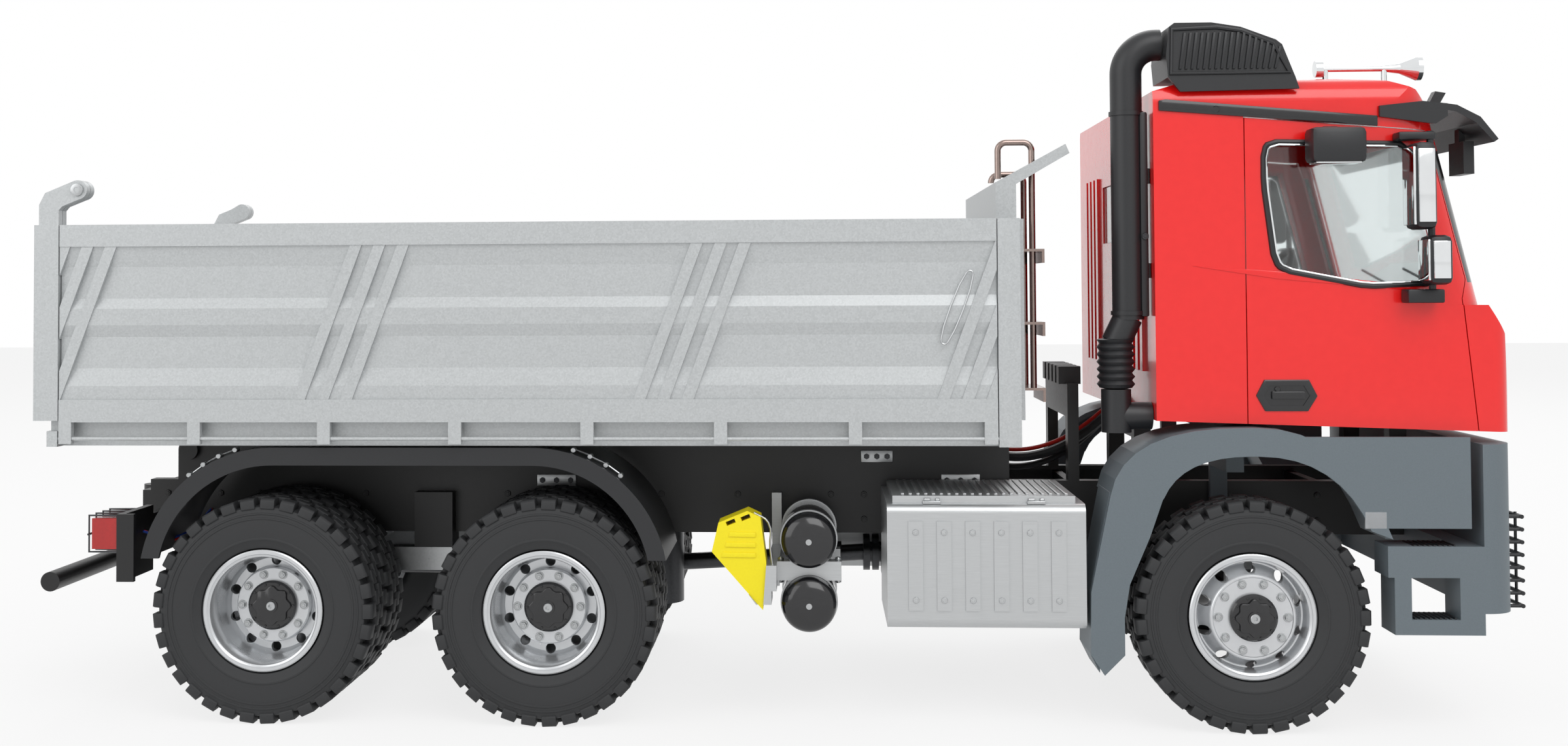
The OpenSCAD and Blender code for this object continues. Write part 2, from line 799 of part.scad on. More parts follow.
// Bent wires in front of each head lamp, on two uprights
module lamp_guards() color([0.1, 0.1, 0.1]) {
    $fn = 16;
    both_sides() {
        for (i = [0 : 7])
            guard_loop(lamp_z[0] - 3 + i * 4.2);
        for (y = [lamp_y[0] + 4, lamp_y[1] - 4])
            upright(front_end - guard_wire, y, guard_wire - 0.2, lamp_z[0] - 4, lamp_z[0] - 2 + 7 * 4.2);
    }
}

module guard_loop(z) {
    for (y = [lamp_y[0] - 1, lamp_y[1] + 1])
        bar([bumper_front + fit, y, z], [front_end - guard_wire, y, z], guard_wire - 0.1);
    cross_bar(front_end - guard_wire, z, guard_wire, lamp_y[0] - 1.8, lamp_y[1] + 1.8);
}

// --- cab -------------------------------------------------------------------------------

// Side view of the cab, drawn in by w on every face but the floor
function cab_outline(w, floor_rear, floor_front) = from_axle([
    [cab_rear + w, floor_rear], [nose - w, floor_front], [nose - w, max(104, floor_front + 1)], [nose - 1.3 - w, 131 - w / 2],
    [screen_foot[0] - 1.1 * w, screen_foot[1] - w / 2], [screen_head[0] - 1.05 * w, screen_head[1] - w / 2],
    [57.2 - 0.8 * w, 212.3 - 0.8 * w], [48, roof_top - 1.1 - w], [28, roof_top - w],
    [-20, roof_top - 1.1 - w], [cab_rear + w, 212.5 - w]
]);

// Plan of the cab with round front corners
module cab_plan(front, w, r) {
    translate([front - 200, -cab_side + w])
        square([200 - r, cab_width - 2 * w]);
    translate([front - r - 1, -cab_side + r])
        square([r + 1 - w, cab_width - 2 * r]);
    for (s = [-1, 1])
        translate([front - r, s * (cab_side - r)])
            circle(r = r - w);
}

// Front view of the cab with round roof edges
module cab_front_view(w) {
    for (s = [-1, 1])
        translate([s * (cab_side - roof_edge), roof_top - roof_edge])
            circle(r = roof_edge - w);
    translate([-cab_side + w, 90])
        square([cab_width - 2 * w, roof_top - roof_edge - 90]);
    translate([-cab_side + roof_edge, 90])
        square([cab_width - 2 * roof_edge, roof_top - w - 90]);
}

nose_corner = 6;                           // radius of the cab's lower front corners

module in_screen_frame() {
    translate([x_front + screen_foot[0], 0, screen_foot[1]])
        rotate([0, -screen_tilt, 0])
            children();
}

module cab_solid(w, floor_rear, floor_front) {
    intersection() {
        across(-cab_side - 1, cab_side + 1)
            polygon(cab_outline(w, floor_rear, floor_front));
        along(x_front - 60, x_front + 100)
            cab_front_view(w);
        union() {
            translate([0, 0, 90])
                linear_extrude(screen_foot[1] - 90)
                    cab_plan(x_front + nose, w, nose_corner);
            intersection() {
                in_screen_frame()
                    translate([0, 0, -40])
                        linear_extrude(140)
                            cab_plan(0, w, cab_corner);
                box([x_front - 60, x_front + 100], [-100, 100], [screen_foot[1] - 0.5, 230]);
            }
        }
    }
}

module cab_walls() {
    difference() {
        cab_solid(0, cab_bottom_rear, cab_bottom_front);
        cab_solid(cab_wall, cab_floor, cab_floor);
    }
}

// Side view of a door; grow widens it on every side
function door_outline(grow) = from_axle([
    [0.25 - grow, 90], [75.4 + grow, 90], [74.2 + grow, 103], [70.2 + grow, 142.6], [72 + grow, 149],
    [61.5 + grow, 192], [59.5 + grow, 198.2 + grow], [0.25 - grow, 203.2 + grow]
]);

function window_outline(grow) = from_axle([
    [6.65 - grow, 192 + grow], [6.65 - grow, 181], [9.75 - grow, 155.7 - grow], [12.5, 152.6 - grow],
    [39.4, 147.3 - grow], [60.5, 148 - grow], [63.2 + grow, 150.5], [52.5 + grow, 193.6 + grow],
    [8.6, 194.6 + grow]
]);

module cab_shell() color([0.9, 0.13, 0.13])
    difference() {
        union() {
            cab_walls();
            rear_wall_ribs();
        }
        both_sides() {
            intersection() {
                across(cab_side - 9, cab_side + 2)
                    polygon(door_outline(door_gap));
                box([x_front - 10, x_front + 90], [0, 100], [cab_floor + 2, 220]);
            }
            intersection() {
                across(cab_side - cab_wall - door_gap, cab_side + 2)
                    polygon(door_outline(door_gap));
                box([x_front - 10, x_front + 90], [0, 100], [80, cab_floor + 3]);
            }
        }
        in_screen_frame()
            box([-5, 5], [-cab_side + cab_corner - 0.3, cab_side - cab_corner + 0.3], [6, 58]);
        box([x_front + cab_rear - 5, x_front + cab_rear + 5], rear_window_y, rear_window_z);
    }

rear_window_y = [-24, 24];
rear_window_z = [164, 186];

module rear_wall_ribs() {
    both_sides()
        for (y = [32 : 9 : 59])
            box([x_front + cab_rear - 1, x_front + cab_rear + 0.5], [y, y + 4.5], [118, 190]);
}

module cab_glass() color([0.75, 0.85, 0.85, 0.5]) {
    in_screen_frame()
        box([-2.2, -1], [-cab_side + cab_corner - 0.1, cab_side - cab_corner + 0.1], [6.2, 57.8]);
    box([x_front + cab_rear + 0.8, x_front + cab_rear + 1.8],
        [rear_window_y[0] + seat, rear_window_y[1] - seat], [rear_window_z[0] + seat, rear_window_z[1] - seat]);
}

module seat_piece(y) {
    across(y - 17, y + 17)
        polygon(from_axle([
            [-2, cab_floor], [28, cab_floor], [32, 119], [31, 124], [4, 122], [-4, 160], [-10, 176], [-15, 175],
            [-11, 160], [-6, 118]
        ]));
}

wheel_hub = [38.5, 148];

module cab_interior() color([0.15, 0.15, 0.16]) {
    both_sides()
        seat_piece(38);
    across(-cab_side + cab_wall + 2, cab_side - cab_wall - 2)
        polygon(from_axle([
            [52, cab_floor], [68, cab_floor], [70, 138], [64, 143], [50, 145], [43, 139], [46, 128], [54, 122]
        ]));
    translate([x_front + wheel_hub[0], 38, wheel_hub[1]])
        rotate([0, -62, 0]) {
            rotate_extrude()
                translate([14.5, 0])
                    circle(r = 1.3, $fn = 16);
            cylinder(r = 3, h = 3, center = true);
            translate([0, 0, -12])
                cylinder(r = 2, h = 12);
            box([-1.5, 1.5], [-14.5, 14.5], [-1, 0.6]);
        }
}

module front_grille() color([0.1, 0.1, 0.1])
    across(-52, 52)
        polygon(from_axle([[nose + seat, 104], [nose + 1.6, 104], [nose + 0.5, 129], [nose - 1.2 + seat, 129]]));

module sun_visor() color([0.13, 0.13, 0.14]) {
    across(-cab_side - 1.6, cab_side + 1.6)
        polygon(from_axle([
            [63.6, 207.4], [69, 206.6], [76.5, 202.6], [82.2, 195.2], [80.8, 194.2], [75.2, 200.6], [68.6, 204.4],
            [64, 205.2]
        ]));
    both_sides()
        across(cab_side + seat, cab_side + 1.6)
            polygon(from_axle([[44, 206.6], [58, 208], [66, 207.1], [66, 203], [62, 200.4], [44, 203]]));
}

// Close-view mirror hung from the visor, with its arm's cover above
module front_mirrors() color([0.12, 0.12, 0.12]) {
    y = [-72, -58];
    box([x_front + 75.2, x_front + 78.7], y, [184.5, 195.5]);
    across(-67, -63)
        polygon(from_axle([[68.5, 207.1], [71.5, 212.4], [68, 213], [65.2, 207.7]]));
    across(-67, -63)
        polygon(from_axle([[75.5, 195], [77.5, 195], [77.5, 197.6], [75.5, 199.9]]));
}

module roof_intake() color([0.13, 0.13, 0.14])
    mirror([0, 1, 0]) {
        across(58, cab_side + 1.8)
            polygon(from_axle([
                [-25, roof_top + seat], [-25.6, 224], [-24.6, 233.6], [-22.8, 235], [-10.6, 235], [-1, 233.4],
                [10.5, 229], [12.5, 227.4], [16.6, roof_top + seat]
            ]));
        across(cab_side + seat, cab_side + 1.8)
            polygon(from_axle([[-25, roof_top + 0.3], [16.6, roof_top + 0.3], [18, 212.6], [-21, 212]]));
    }

snorkel_x = x_front - 37.2;
snorkel_y = -74;
snorkel_radius = 5.3;
bellows_x = x_front - 41.6;

module snorkel() color([0.12, 0.12, 0.13]) {
    upright(snorkel_x, snorkel_y, snorkel_radius, 136, 219);
    tube_bend([snorkel_x + 10, snorkel_y, 219], 10, snorkel_radius, 90, 48);
    translate([snorkel_x + 10, snorkel_y, 229])
        rotate([0, 90, 0])
            cylinder(r = snorkel_radius, h = x_front - 25.6 - seat - snorkel_x - 10);
    for (z = [150, 182])
        box([snorkel_x, x_front + cab_rear - seat], [snorkel_y - 2.5, snorkel_y + 2.5], [z, z + 5]);
    bellows();
}

// Rubber bellows with its cone above and the bend below that goes to the engine
module bellows() {
    bar([bellows_x, snorkel_y, 128], [snorkel_x, snorkel_y, 137], 4.9);
    translate([bellows_x, snorkel_y, 112])
        rotate_extrude()
            polygon(concat(
                [[0, 0]],
                [for (i = [0 : 13]) [i % 2 == 0 ? 5.4 : 6.4, 1 + i * 1.25]],
                [[0, 18.5]]
            ));
    upright(bellows_x, snorkel_y, 5, 98, 112.5);
    translate([bellows_x, snorkel_y, 103.5])
        rotate([0, 90, 0])
            cylinder(r = 4.6, h = x_front + cab_rear - seat - bellows_x);
}

horn_y = -70;
horn_z = 220.6;

module air_horn() color([0.85, 0.86, 0.87]) {
    translate([x_front + 27, horn_y, horn_z])
        rotate([0, 90, 0])
            rotate_extrude()
                polygon([[0, 0], [2.8, 0], [2.8, 2.4], [1, 3], [1, 22], [1.8, 28], [4.2, 33.5], [4.2, 35], [0, 35]]);
    for (x = [30.5, 50])
        upright(x_front + x, horn_y, 1, roof_top + (x > 40 ? -1.6 : 0.2), horn_z);
}

module cab_support() color([0.1, 0.1, 0.1]) {
    both_sides() {
        box([x_front + cab_rear + 1.5, x_front + cab_rear + 7.5], [rail_inner, rail_outer],
            [frame_top, cab_bottom_rear - 0.4]);
        box([x_front - 52, x_front - 48], [rail_inner, rail_outer], [frame_top, 112]);
    }
    box([x_front + cab_rear + 2.5, x_front + cab_rear + 6.5], [-rail_outer, rail_outer], [92, 99]);
    box([x_front - 52, x_front - 48], [-rail_outer, rail_outer], [100, 112]);
    for (y = [-20 : 10 : 20])
        box([x_front - 54, x_front - 46], [y - 3, y + 3], [111.5, 118]);
}

// --- cables from the frame to the cab ------------------------------------------------------

// Frame across a path at point i
function heading(path, i) =
    let (a = path[max(i - 1, 0)], b = path[min(i + 1, len(path) - 1)]) (b - a) / norm(b - a);

function ring(path, i, r, sides) =
    let (d = heading(path, i), u = cross(d, [0, 1, 0]) / norm(cross(d, [0, 1, 0])), v = cross(d, u))
    [for (k = [0 : sides - 1]) path[i] + r * (cos(360 * k / sides) * u + sin(360 * k / sides) * v)];

module cable(path, r, sides = 8) {
    rings = len(path);
    points = [for (i = [0 : rings - 1]) each ring(path, i, r, sides)];
    tube = [for (i = [0 : rings - 2], k = [0 : sides - 1])
        [i * sides + k, i * sides + (k + 1) % sides, (i + 1) * sides + (k + 1) % sides, (i + 1) * sides + k]];
    polyhedron(points, concat(tube, [[for (k = [sides - 1 : -1 : 0]) k]], [[for (k = [0 : sides - 1]) (rings - 1) * sides + k]]));
}

// One cable: from the subframe's front end, in a low sag, up to the cab's rear wall
function cable_route(y0, y1, z0, z1) = [
    for (t = [0 : 0.0625 : 1])
        [
            bed_front + 2.5 + t * (x_front + cab_rear - 1 - bed_front - 2.5),
            y0 + t * (y1 - y0),
            z0 + (z1 - z0) * t * t - 5 * t * (1 - t)
        ]
];

module cab_cables() color([0.1, 0.1, 0.1]) {
    for (c = [[-10, -20.5, 84, 106, 1.7], [-6, -16.5, 80, 105.5, 1.2], [-2, -13, 86, 107, 0.8], [2, -10, 82.5, 106, 0.8]])
        cable(cable_route(c[0], c[1], c[2], c[3]), c[4]);
}

// --- tipping cylinder ------------------------------------------------------------------------

module cylinder_barrel() color([0.2, 0.2, 0.21]) {
    difference() {
        upright(trunnion_x, 0, barrel_radius, barrel_bottom, barrel_top);
        upright(trunnion_x, 0, barrel_radius - tube_wall, barrel_bottom + stage_floor, barrel_top + 1);
    }
    both_sides()
        cross_bar(trunnion_x, trunnion_z, trunnion_radius, barrel_radius - 0.5, rail_inner - 2.5);
}

// Tube number n, counted from the barrel
module cylinder_stage(n) {
    r = barrel_radius - n * tube_step;
    z = barrel_bottom + n * (stage_floor + 1);
    difference() {
        upright(trunnion_x, 0, r, z, barrel_top + n);
        upright(trunnion_x, 0, r - tube_wall, z + stage_floor, barrel_top + n + 1);
    }
}

module cylinder_tube() color([0.7, 0.71, 0.72])
    cylinder_stage(1);

module cylinder_inner_tube() color([0.75, 0.76, 0.77])
    cylinder_stage(2);

// Solid last stage with the ball that sits in the cup under the floor
module cylinder_rod() color([0.8, 0.81, 0.82]) {
    upright(trunnion_x, 0, rod_radius, barrel_bottom + 3 * (stage_floor + 1), barrel_top + 3);
    upright(trunnion_x, 0, 2.4, barrel_top + 2, ball_z);
    translate([trunnion_x, 0, ball_z])
        sphere(r = ball_radius);
}

// --- load bed -----------------------------------------------------------------------------------

module bed_floor() color([0.72, 0.73, 0.74]) {
    difference() {
        union() {
            box([tail_front + 0.4, headboard_x - seat], [-frame_side, frame_side], [load_floor - 2.4, load_floor]);
            box([headboard_x - 1, bed_front], [-frame_side, frame_side], [load_floor - 2.4, headboard_foot]);
            for (x = [tail_front + 0.4, x_rear + 30, x_middle - 30, x_middle + 45, x_middle + 90, bed_front - 5])
                crossmember(x, 5, bed_bottom, load_floor - 2, frame_side);
            both_sides() {
                box([tail_front + 0.4, bed_front], [frame_side - 4, frame_side], [bed_bottom, load_floor - 2]);
                box([pivot_x - pivot_ear, bed_front - 8], [beam_inner, beam_outer], [pivot_z - 2, load_floor - 2]);
                cross_bar(pivot_x, pivot_z, pivot_ear, beam_inner, beam_outer);
            }
        }
        both_sides()
            cross_bar(pivot_x, pivot_z, tip_pin_radius + fit, beam_inner - 1, beam_outer + 1);
    }
    both_sides() {
        rear_post();
        front_post();
        hinge_rod();
    }
    ball_cup();
}

// Socket that the cylinder's ball works in, open at the bottom
module ball_cup() {
    difference() {
        box([trunnion_x - 9, trunnion_x + 9], [-beam_inner - 0.5, beam_inner + 0.5], [ball_z - 0.5, load_floor - 2]);
        upright(trunnion_x, 0, ball_radius + 2, ball_z - 2, ball_z + ball_radius + 1);
    }
}

arm_round = 3.3;

// Hooked arm in side view, from a post's top forward to the tailgate's pin
module hook_outline(x0, x1) {
    polygon([
        [x0, gate_top - 1], [x0, pin_z - 5], [x0 + 2.1, pin_z - 1], [pin_x - 1.2, pin_z + arm_round - 0.2],
        [pin_x, pin_z], [pin_x + 1, pin_z - arm_round + 0.2], [x1 + 1.2, pin_z - 5.6], [x1, pin_z - 7],
        [x1, gate_top - 1]
    ]);
    translate([pin_x, pin_z])
        circle(r = arm_round);
}

// Rear corner post with its arm and the pin that the tailgate swings on
module rear_post() {
    y = [arm_split - 3.4, arm_split - 0.3];
    box([tail_front + 0.4, gate_rear - door_gap], y, [bed_bottom, gate_top - 0.5]);
    across(y[0], y[1])
        hook_outline(tail_front + 0.4, gate_rear - door_gap);
    cross_bar(pin_x, pin_z, tailgate_pin_radius, y[0], bed_side + 0.3);
    cross_bar(pin_x, pin_z, 2.1, bed_side + 0.1, bed_side + 0.9);
}

module front_post() {
    box([post_front_back, bed_front], [gate_inner - 2.5, bed_side], [bed_bottom, gate_top]);
}

gate_length = gate_front - gate_rear;
gate_middle = (gate_front + gate_rear) / 2;

// Rod that the gate folds on, from a lug at the rear to the front post
module hinge_rod() {
    along(gate_rear - 1, post_front_back + 1)
        translate([hinge_y, hinge_z])
            circle(r = hinge_rod_radius, $fn = 24);
    box([tail_front + 0.4, gate_rear - door_gap], [frame_side - 1, bed_side + 0.3], [bed_bottom, hinge_z + 2.6]);
}

ladder_top = [headboard_top + 15.4, headboard_top + 5.7];
ladder_bend = 3;
ladder_leg_x = headboard_x + 1.6;
ladder_foot = load_floor + 7.5;

module headboard() color([0.72, 0.73, 0.74]) {
    box([headboard_x, headboard_x + headboard_thick], [-gate_inner + 2.6, gate_inner - 2.6],
        [headboard_foot, gate_top]);
    difference() {
        across(-canopy_half, canopy_half)
            polygon([
                [headboard_x, gate_top - 1], [headboard_x, headboard_top + 1],
                [headboard_x + 24.1, headboard_top + 14.1], [headboard_x + 25.5, headboard_top + 10.9],
                [headboard_x + headboard_thick, headboard_top + 0.3], [headboard_x + headboard_thick, gate_top - 1]
            ]);
        box([ladder_x - 2.4, ladder_x + 2.4], [ladder_y[0] - 2.4, ladder_y[1] + 2.4],
            [headboard_top, headboard_top + 30]);
        box([headboard_x + 5.6, ladder_x + 2.4], [ladder_y[1] - 2.4, ladder_y[1] + 2.4],
            [headboard_top, headboard_top + 30]);
    }
}

// A rail with its hoop back over the canopy
module ladder_rail(y, top) {
    upright(ladder_x, y, ladder_radius, ladder_foot, top - ladder_bend);
    upright(ladder_leg_x, y, ladder_radius, headboard_top + 2.6, top - ladder_bend);
    cross = [ladder_leg_x + ladder_bend, ladder_x - ladder_bend];
    translate([0, y, top])
        rotate([0, 90, 0])
            translate([0, 0, cross[0]])
                cylinder(r = ladder_radius, h = cross[1] - cross[0]);
    tube_bend([cross[1], y, top - ladder_bend], ladder_bend, ladder_radius, 0, $fn);
    tube_bend([cross[0], y, top - ladder_bend], ladder_bend, ladder_radius, 90, $fn);
}

// Bent plate bolted to the headboard, with its front edge turned down
module ladder_step(z) {
    y = [ladder_y[0] - 1.8, ladder_y[1] + 1.8];
    box([headboard_x + headboard_thick + fit, ladder_x + 4], y, [z, z + 0.9]);
    box([ladder_x + 3.1, ladder_x + 4], y, [z - 4, z + 0.9]);
}

module ladder() color([0.75, 0.75, 0.76]) {
    $fn = 24;
    for (i = [0, 1])
        ladder_rail(ladder_y[i], ladder_top[i]);
    for (z = [ladder_foot, ladder_foot + 23, ladder_foot + 48.6])
        ladder_step(z);
}

gate_bottom = load_floor - 0.9;
panel_bottom = gate_bottom + 7.7;
panel_top = gate_top - 7.5;
panel_height = panel_top - panel_bottom;
panel_proud = 0.9;                         // depth of the panel's outer folds behind the rails
panel_sunk = 2.1;                          // depth of its inner folds
// Folds from the panel's top down: share of its height, and 1 for an outer fold or 0 for an inner one
panel_folds = [[1, 1], [0.912, 1], [0.797, 0], [0.592, 0], [0.515, 1], [0.408, 1], [0.341, 0], [0.134, 0], [0, 1]];

// Front view of a gate: two rails with a corrugated panel between them
module gate_section() {
    polygon(concat(
        [[gate_inner, gate_bottom], [bed_side, gate_bottom], [bed_side, panel_bottom]],
        [for (f = panel_folds)
            [bed_side - (f[1] == 1 ? panel_proud : panel_sunk), panel_top - f[0] * panel_height]],
        [[bed_side, panel_top], [bed_side, gate_top], [gate_inner, gate_top]]
    ));
}

slat_lean = 20.5;

// Three slats that lean forward, proud of the panel
module slat_group(x) {
    run = panel_height * tan(slat_lean) / 2;
    for (i = [-1 : 1])
        intersection() {
            across(bed_side - 2.6, bed_side - 0.3)
                polygon([
                    [x + i * 8.1 - run - 2, panel_bottom - 0.1], [x + i * 8.1 - run + 2, panel_bottom - 0.1],
                    [x + i * 8.1 + run + 2, panel_top + 0.1],
                    [x + i * 8.1 + run - 2, panel_top + 0.1]
                ]);
            box([gate_rear, gate_front], [0, bed_side], [0, gate_top]);
        }
}

module gate_clip(x) {
    difference() {
        box([x - 2.2, x + 2.2], [hinge_y - 1.4, bed_side], [hinge_z - 1.8, gate_bottom + 0.5]);
        along(x - 3, x + 3)
            translate([hinge_y, hinge_z])
                circle(r = hinge_rod_radius + fit, $fn = 24);
    }
}

module side_gate(s) color([0.72, 0.73, 0.74])
    on_side(s) {
        along(gate_rear, gate_front)
            gate_section();
        for (t = [-0.5, -0.182, 0.182, 0.5])
            slat_group(gate_middle + t * gate_length);
        for (i = [0 : 7])
            gate_clip(gate_rear + 2.2 + i * (gate_length - 4.4) / 7);
    }

// Panel with a sunk face and upright ribs, and an arm at each side that hangs on the post's pin
module tailgate() color([0.72, 0.73, 0.74]) {
    z = [gate_bottom + 0.5, gate_top];
    difference() {
        box([rear_end, tail_front], [-bed_side, bed_side], z);
        box([rear_end - 1, rear_end + 2], [-bed_side + 7, bed_side - 7], [z[0] + 7.5, z[1] - 7.5]);
    }
    for (y = [-2 : 2])
        box([rear_end, rear_end + 2.5], [y * 30 - 2, y * 30 + 2], [z[0] + 7, z[1] - 7]);
    both_sides()
        difference() {
            union() {
                box([rear_end, gate_rear - door_gap], [arm_split, bed_side], z);
                across(arm_split, bed_side)
                    hook_outline(rear_end + 1.65, gate_rear - door_gap);
            }
            cross_bar(pin_x, pin_z, tailgate_pin_radius + fit, arm_split - 1, bed_side + 1);
        }
}

// --- doors ----------------------------------------------------------------------------------------

module door(s) color([0.9, 0.13, 0.13])
    on_side(s)
        difference() {
            intersection() {
                cab_walls();
                across(cab_side - 9, cab_side + 1)
                    polygon(door_outline(0));
                union() {
                    box([x_front - 10, x_front + 90], [0, 100], [cab_floor + 2.5, 220]);
                    box([x_front - 10, x_front + 90], [cab_side - cab_wall, 100], [80, cab_floor + 3]);
                }
            }
            across(cab_side - 10, cab_side + 2)
                polygon(window_outline(0));
        }

module door_glass(s) color([0.75, 0.85, 0.85, 0.5])
    on_side(s)
        across(cab_side - cab_wall - 1.3, cab_side - cab_wall - fit)
            polygon(window_outline(1.2));

// Main and wide-view mirrors on their post, and the kerb mirror above the window
module mirrors(s) color([0.12, 0.12, 0.12])
    on_side(s) {
        box([x_front + 49.8, x_front + 57.5], [cab_side + 3.5, cab_side + 17.5], [165, 193.5]);
        box([x_front + 54.4, x_front + 62.5], [cab_side + 3.5, cab_side + 16.5], [147, 163.5]);
        upright(x_front + 58.6, cab_side + 6, 1.3, 144, 198);
        box([x_front + 48, x_front + 60], [cab_side + fit, cab_side + 7.5], [194.5, 197.5]);
        box([x_front + 50, x_front + 62], [cab_side + fit, cab_side + 8], [141, 146]);
        box([x_front + 18.8, x_front + 36.8], [cab_side + 2, cab_side + 13], [187, 199]);
        box([x_front + 25, x_front + 30], [cab_side + fit, cab_side + 3], [196, 200]);
    }

// --- nodes --------------------------------------------------------------------------------------------

frame_rails();
subframe();
driveline();
axles();
leaf_springs();
mudguards();
rear_underrun();
rear_lamps();
air_tanks();
tank_brackets();
wheel_chocks();
toolbox();
fuel_tank();
front_fenders();
entry_steps();
bumper();
head_lamps();
lamp_guards();
cab_shell();
cab_glass();
cab_interior();
front_grille();
sun_visor();
front_mirrors();
roof_intake();
snorkel();
air_horn();
cab_support();
cab_cables();
tie_rod();
knuckle(1);  // knuckle_left
knuckle(-1);  // knuckle_right
tyre_front(1);  // tyre_front_left
tyre_front(-1);  // tyre_front_right
rim_front(1);  // rim_front_left
rim_front(-1);  // rim_front_right
tyres_twin(x_middle, 1);  // tyres_middle_left
tyres_twin(x_middle, -1);  // tyres_middle_right
rims_twin(x_middle, 1);  // rims_middle_left
rims_twin(x_middle, -1);  // rims_middle_right
tyres_twin(x_rear, 1);  // tyres_rear_left
tyres_twin(x_rear, -1);  // tyres_rear_right
rims_twin(x_rear, 1);  // rims_rear_left
rims_twin(x_rear, -1);  // rims_rear_right
cylinder_barrel();
cylinder_tube();
cylinder_inner_tube();
cylinder_rod();
bed_floor();
headboard();
ladder();
side_gate(1);  // side_gate_left
side_gate(-1);  // side_gate_right
tailgate();
door(1);  // door_left
door(-1);  // door_right
door_glass(1);  // door_glass_left
door_glass(-1);  // door_glass_right
mirrors(1);  // mirrors_left
mirrors(-1);  // mirrors_right
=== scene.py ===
"""Looks of a radio-controlled model dump truck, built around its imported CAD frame.

Lengths in this file are millimetres and are turned to metres where a mesh is made.
+X points forward, +Y to the truck's left and +Z up.
"""

from __future__ import annotations

import json
import logging
import math
from dataclasses import dataclass
from enum import Enum
from typing import Iterable, Sequence

import bpy
from mathutils import Matrix, Vector

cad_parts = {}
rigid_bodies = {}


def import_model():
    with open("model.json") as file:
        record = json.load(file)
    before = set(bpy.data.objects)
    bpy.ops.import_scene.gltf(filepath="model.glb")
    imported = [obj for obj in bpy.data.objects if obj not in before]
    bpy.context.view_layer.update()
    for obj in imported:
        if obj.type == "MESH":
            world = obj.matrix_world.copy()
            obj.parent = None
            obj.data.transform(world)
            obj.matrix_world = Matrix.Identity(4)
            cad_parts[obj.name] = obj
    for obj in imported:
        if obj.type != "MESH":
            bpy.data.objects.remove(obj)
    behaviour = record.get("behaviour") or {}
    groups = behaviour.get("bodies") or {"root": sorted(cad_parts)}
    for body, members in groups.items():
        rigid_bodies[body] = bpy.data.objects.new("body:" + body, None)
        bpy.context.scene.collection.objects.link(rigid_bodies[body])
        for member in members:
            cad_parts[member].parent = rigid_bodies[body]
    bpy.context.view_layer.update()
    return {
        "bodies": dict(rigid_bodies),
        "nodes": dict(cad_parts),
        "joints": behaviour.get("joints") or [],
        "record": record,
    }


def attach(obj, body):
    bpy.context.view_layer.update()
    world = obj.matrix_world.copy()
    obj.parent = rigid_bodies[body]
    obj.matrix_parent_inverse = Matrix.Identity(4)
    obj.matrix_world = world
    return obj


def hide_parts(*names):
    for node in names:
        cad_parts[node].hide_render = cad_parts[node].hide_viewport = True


LOG = logging.getLogger("dump_truck")
MM = 0.001
SIDES = {"left": 1, "right": -1}
Point = tuple[float, float, float]
Object = bpy.types.Object


# --- finishes ---------------------------------------------------------------------


class Pattern(Enum):
    """How a surface was made, which decides its fine relief."""

    MOULDED = "moulded"
    BRUSHED = "brushed"
    FLAKE = "flake"
    CAST = "cast"


def linear(hex_colour: str) -> tuple[float, float, float, float]:
    """Turns an sRGB hex colour into linear red, green, blue and alpha.

    Args:
        hex_colour: Six hex digits, such as "c8cacc".

    Returns:
        The linear colour with an alpha of 1.
    """
    parts = [int(hex_colour[i : i + 2], 16) / 255 for i in (0, 2, 4)]
    red, green, blue = [c / 12.92 if c <= 0.04045 else ((c + 0.055) / 1.055) ** 2.4 for c in parts]
    return red, green, blue, 1.0


def add_node(
    tree: bpy.types.NodeTree, kind: str, settings: dict | None = None, links: dict | None = None
) -> bpy.types.Node:
    """Adds a shader node.

    Args:
        tree: The node tree that takes it.
        kind: The node's type name.
        settings: Attributes, and inputs' values by name or number.
        links: Output sockets to join to inputs, by the input's name or number.

    Returns:
        The new node.
    """
    node = tree.nodes.new(kind)
    for name, value in (settings or {}).items():
        if isinstance(name, str) and hasattr(node, name):
            setattr(node, name, value)
        else:
            node.inputs[name].default_value = value
    for name, socket in (links or {}).items():
        tree.links.new(socket, node.inputs[name])
    return node


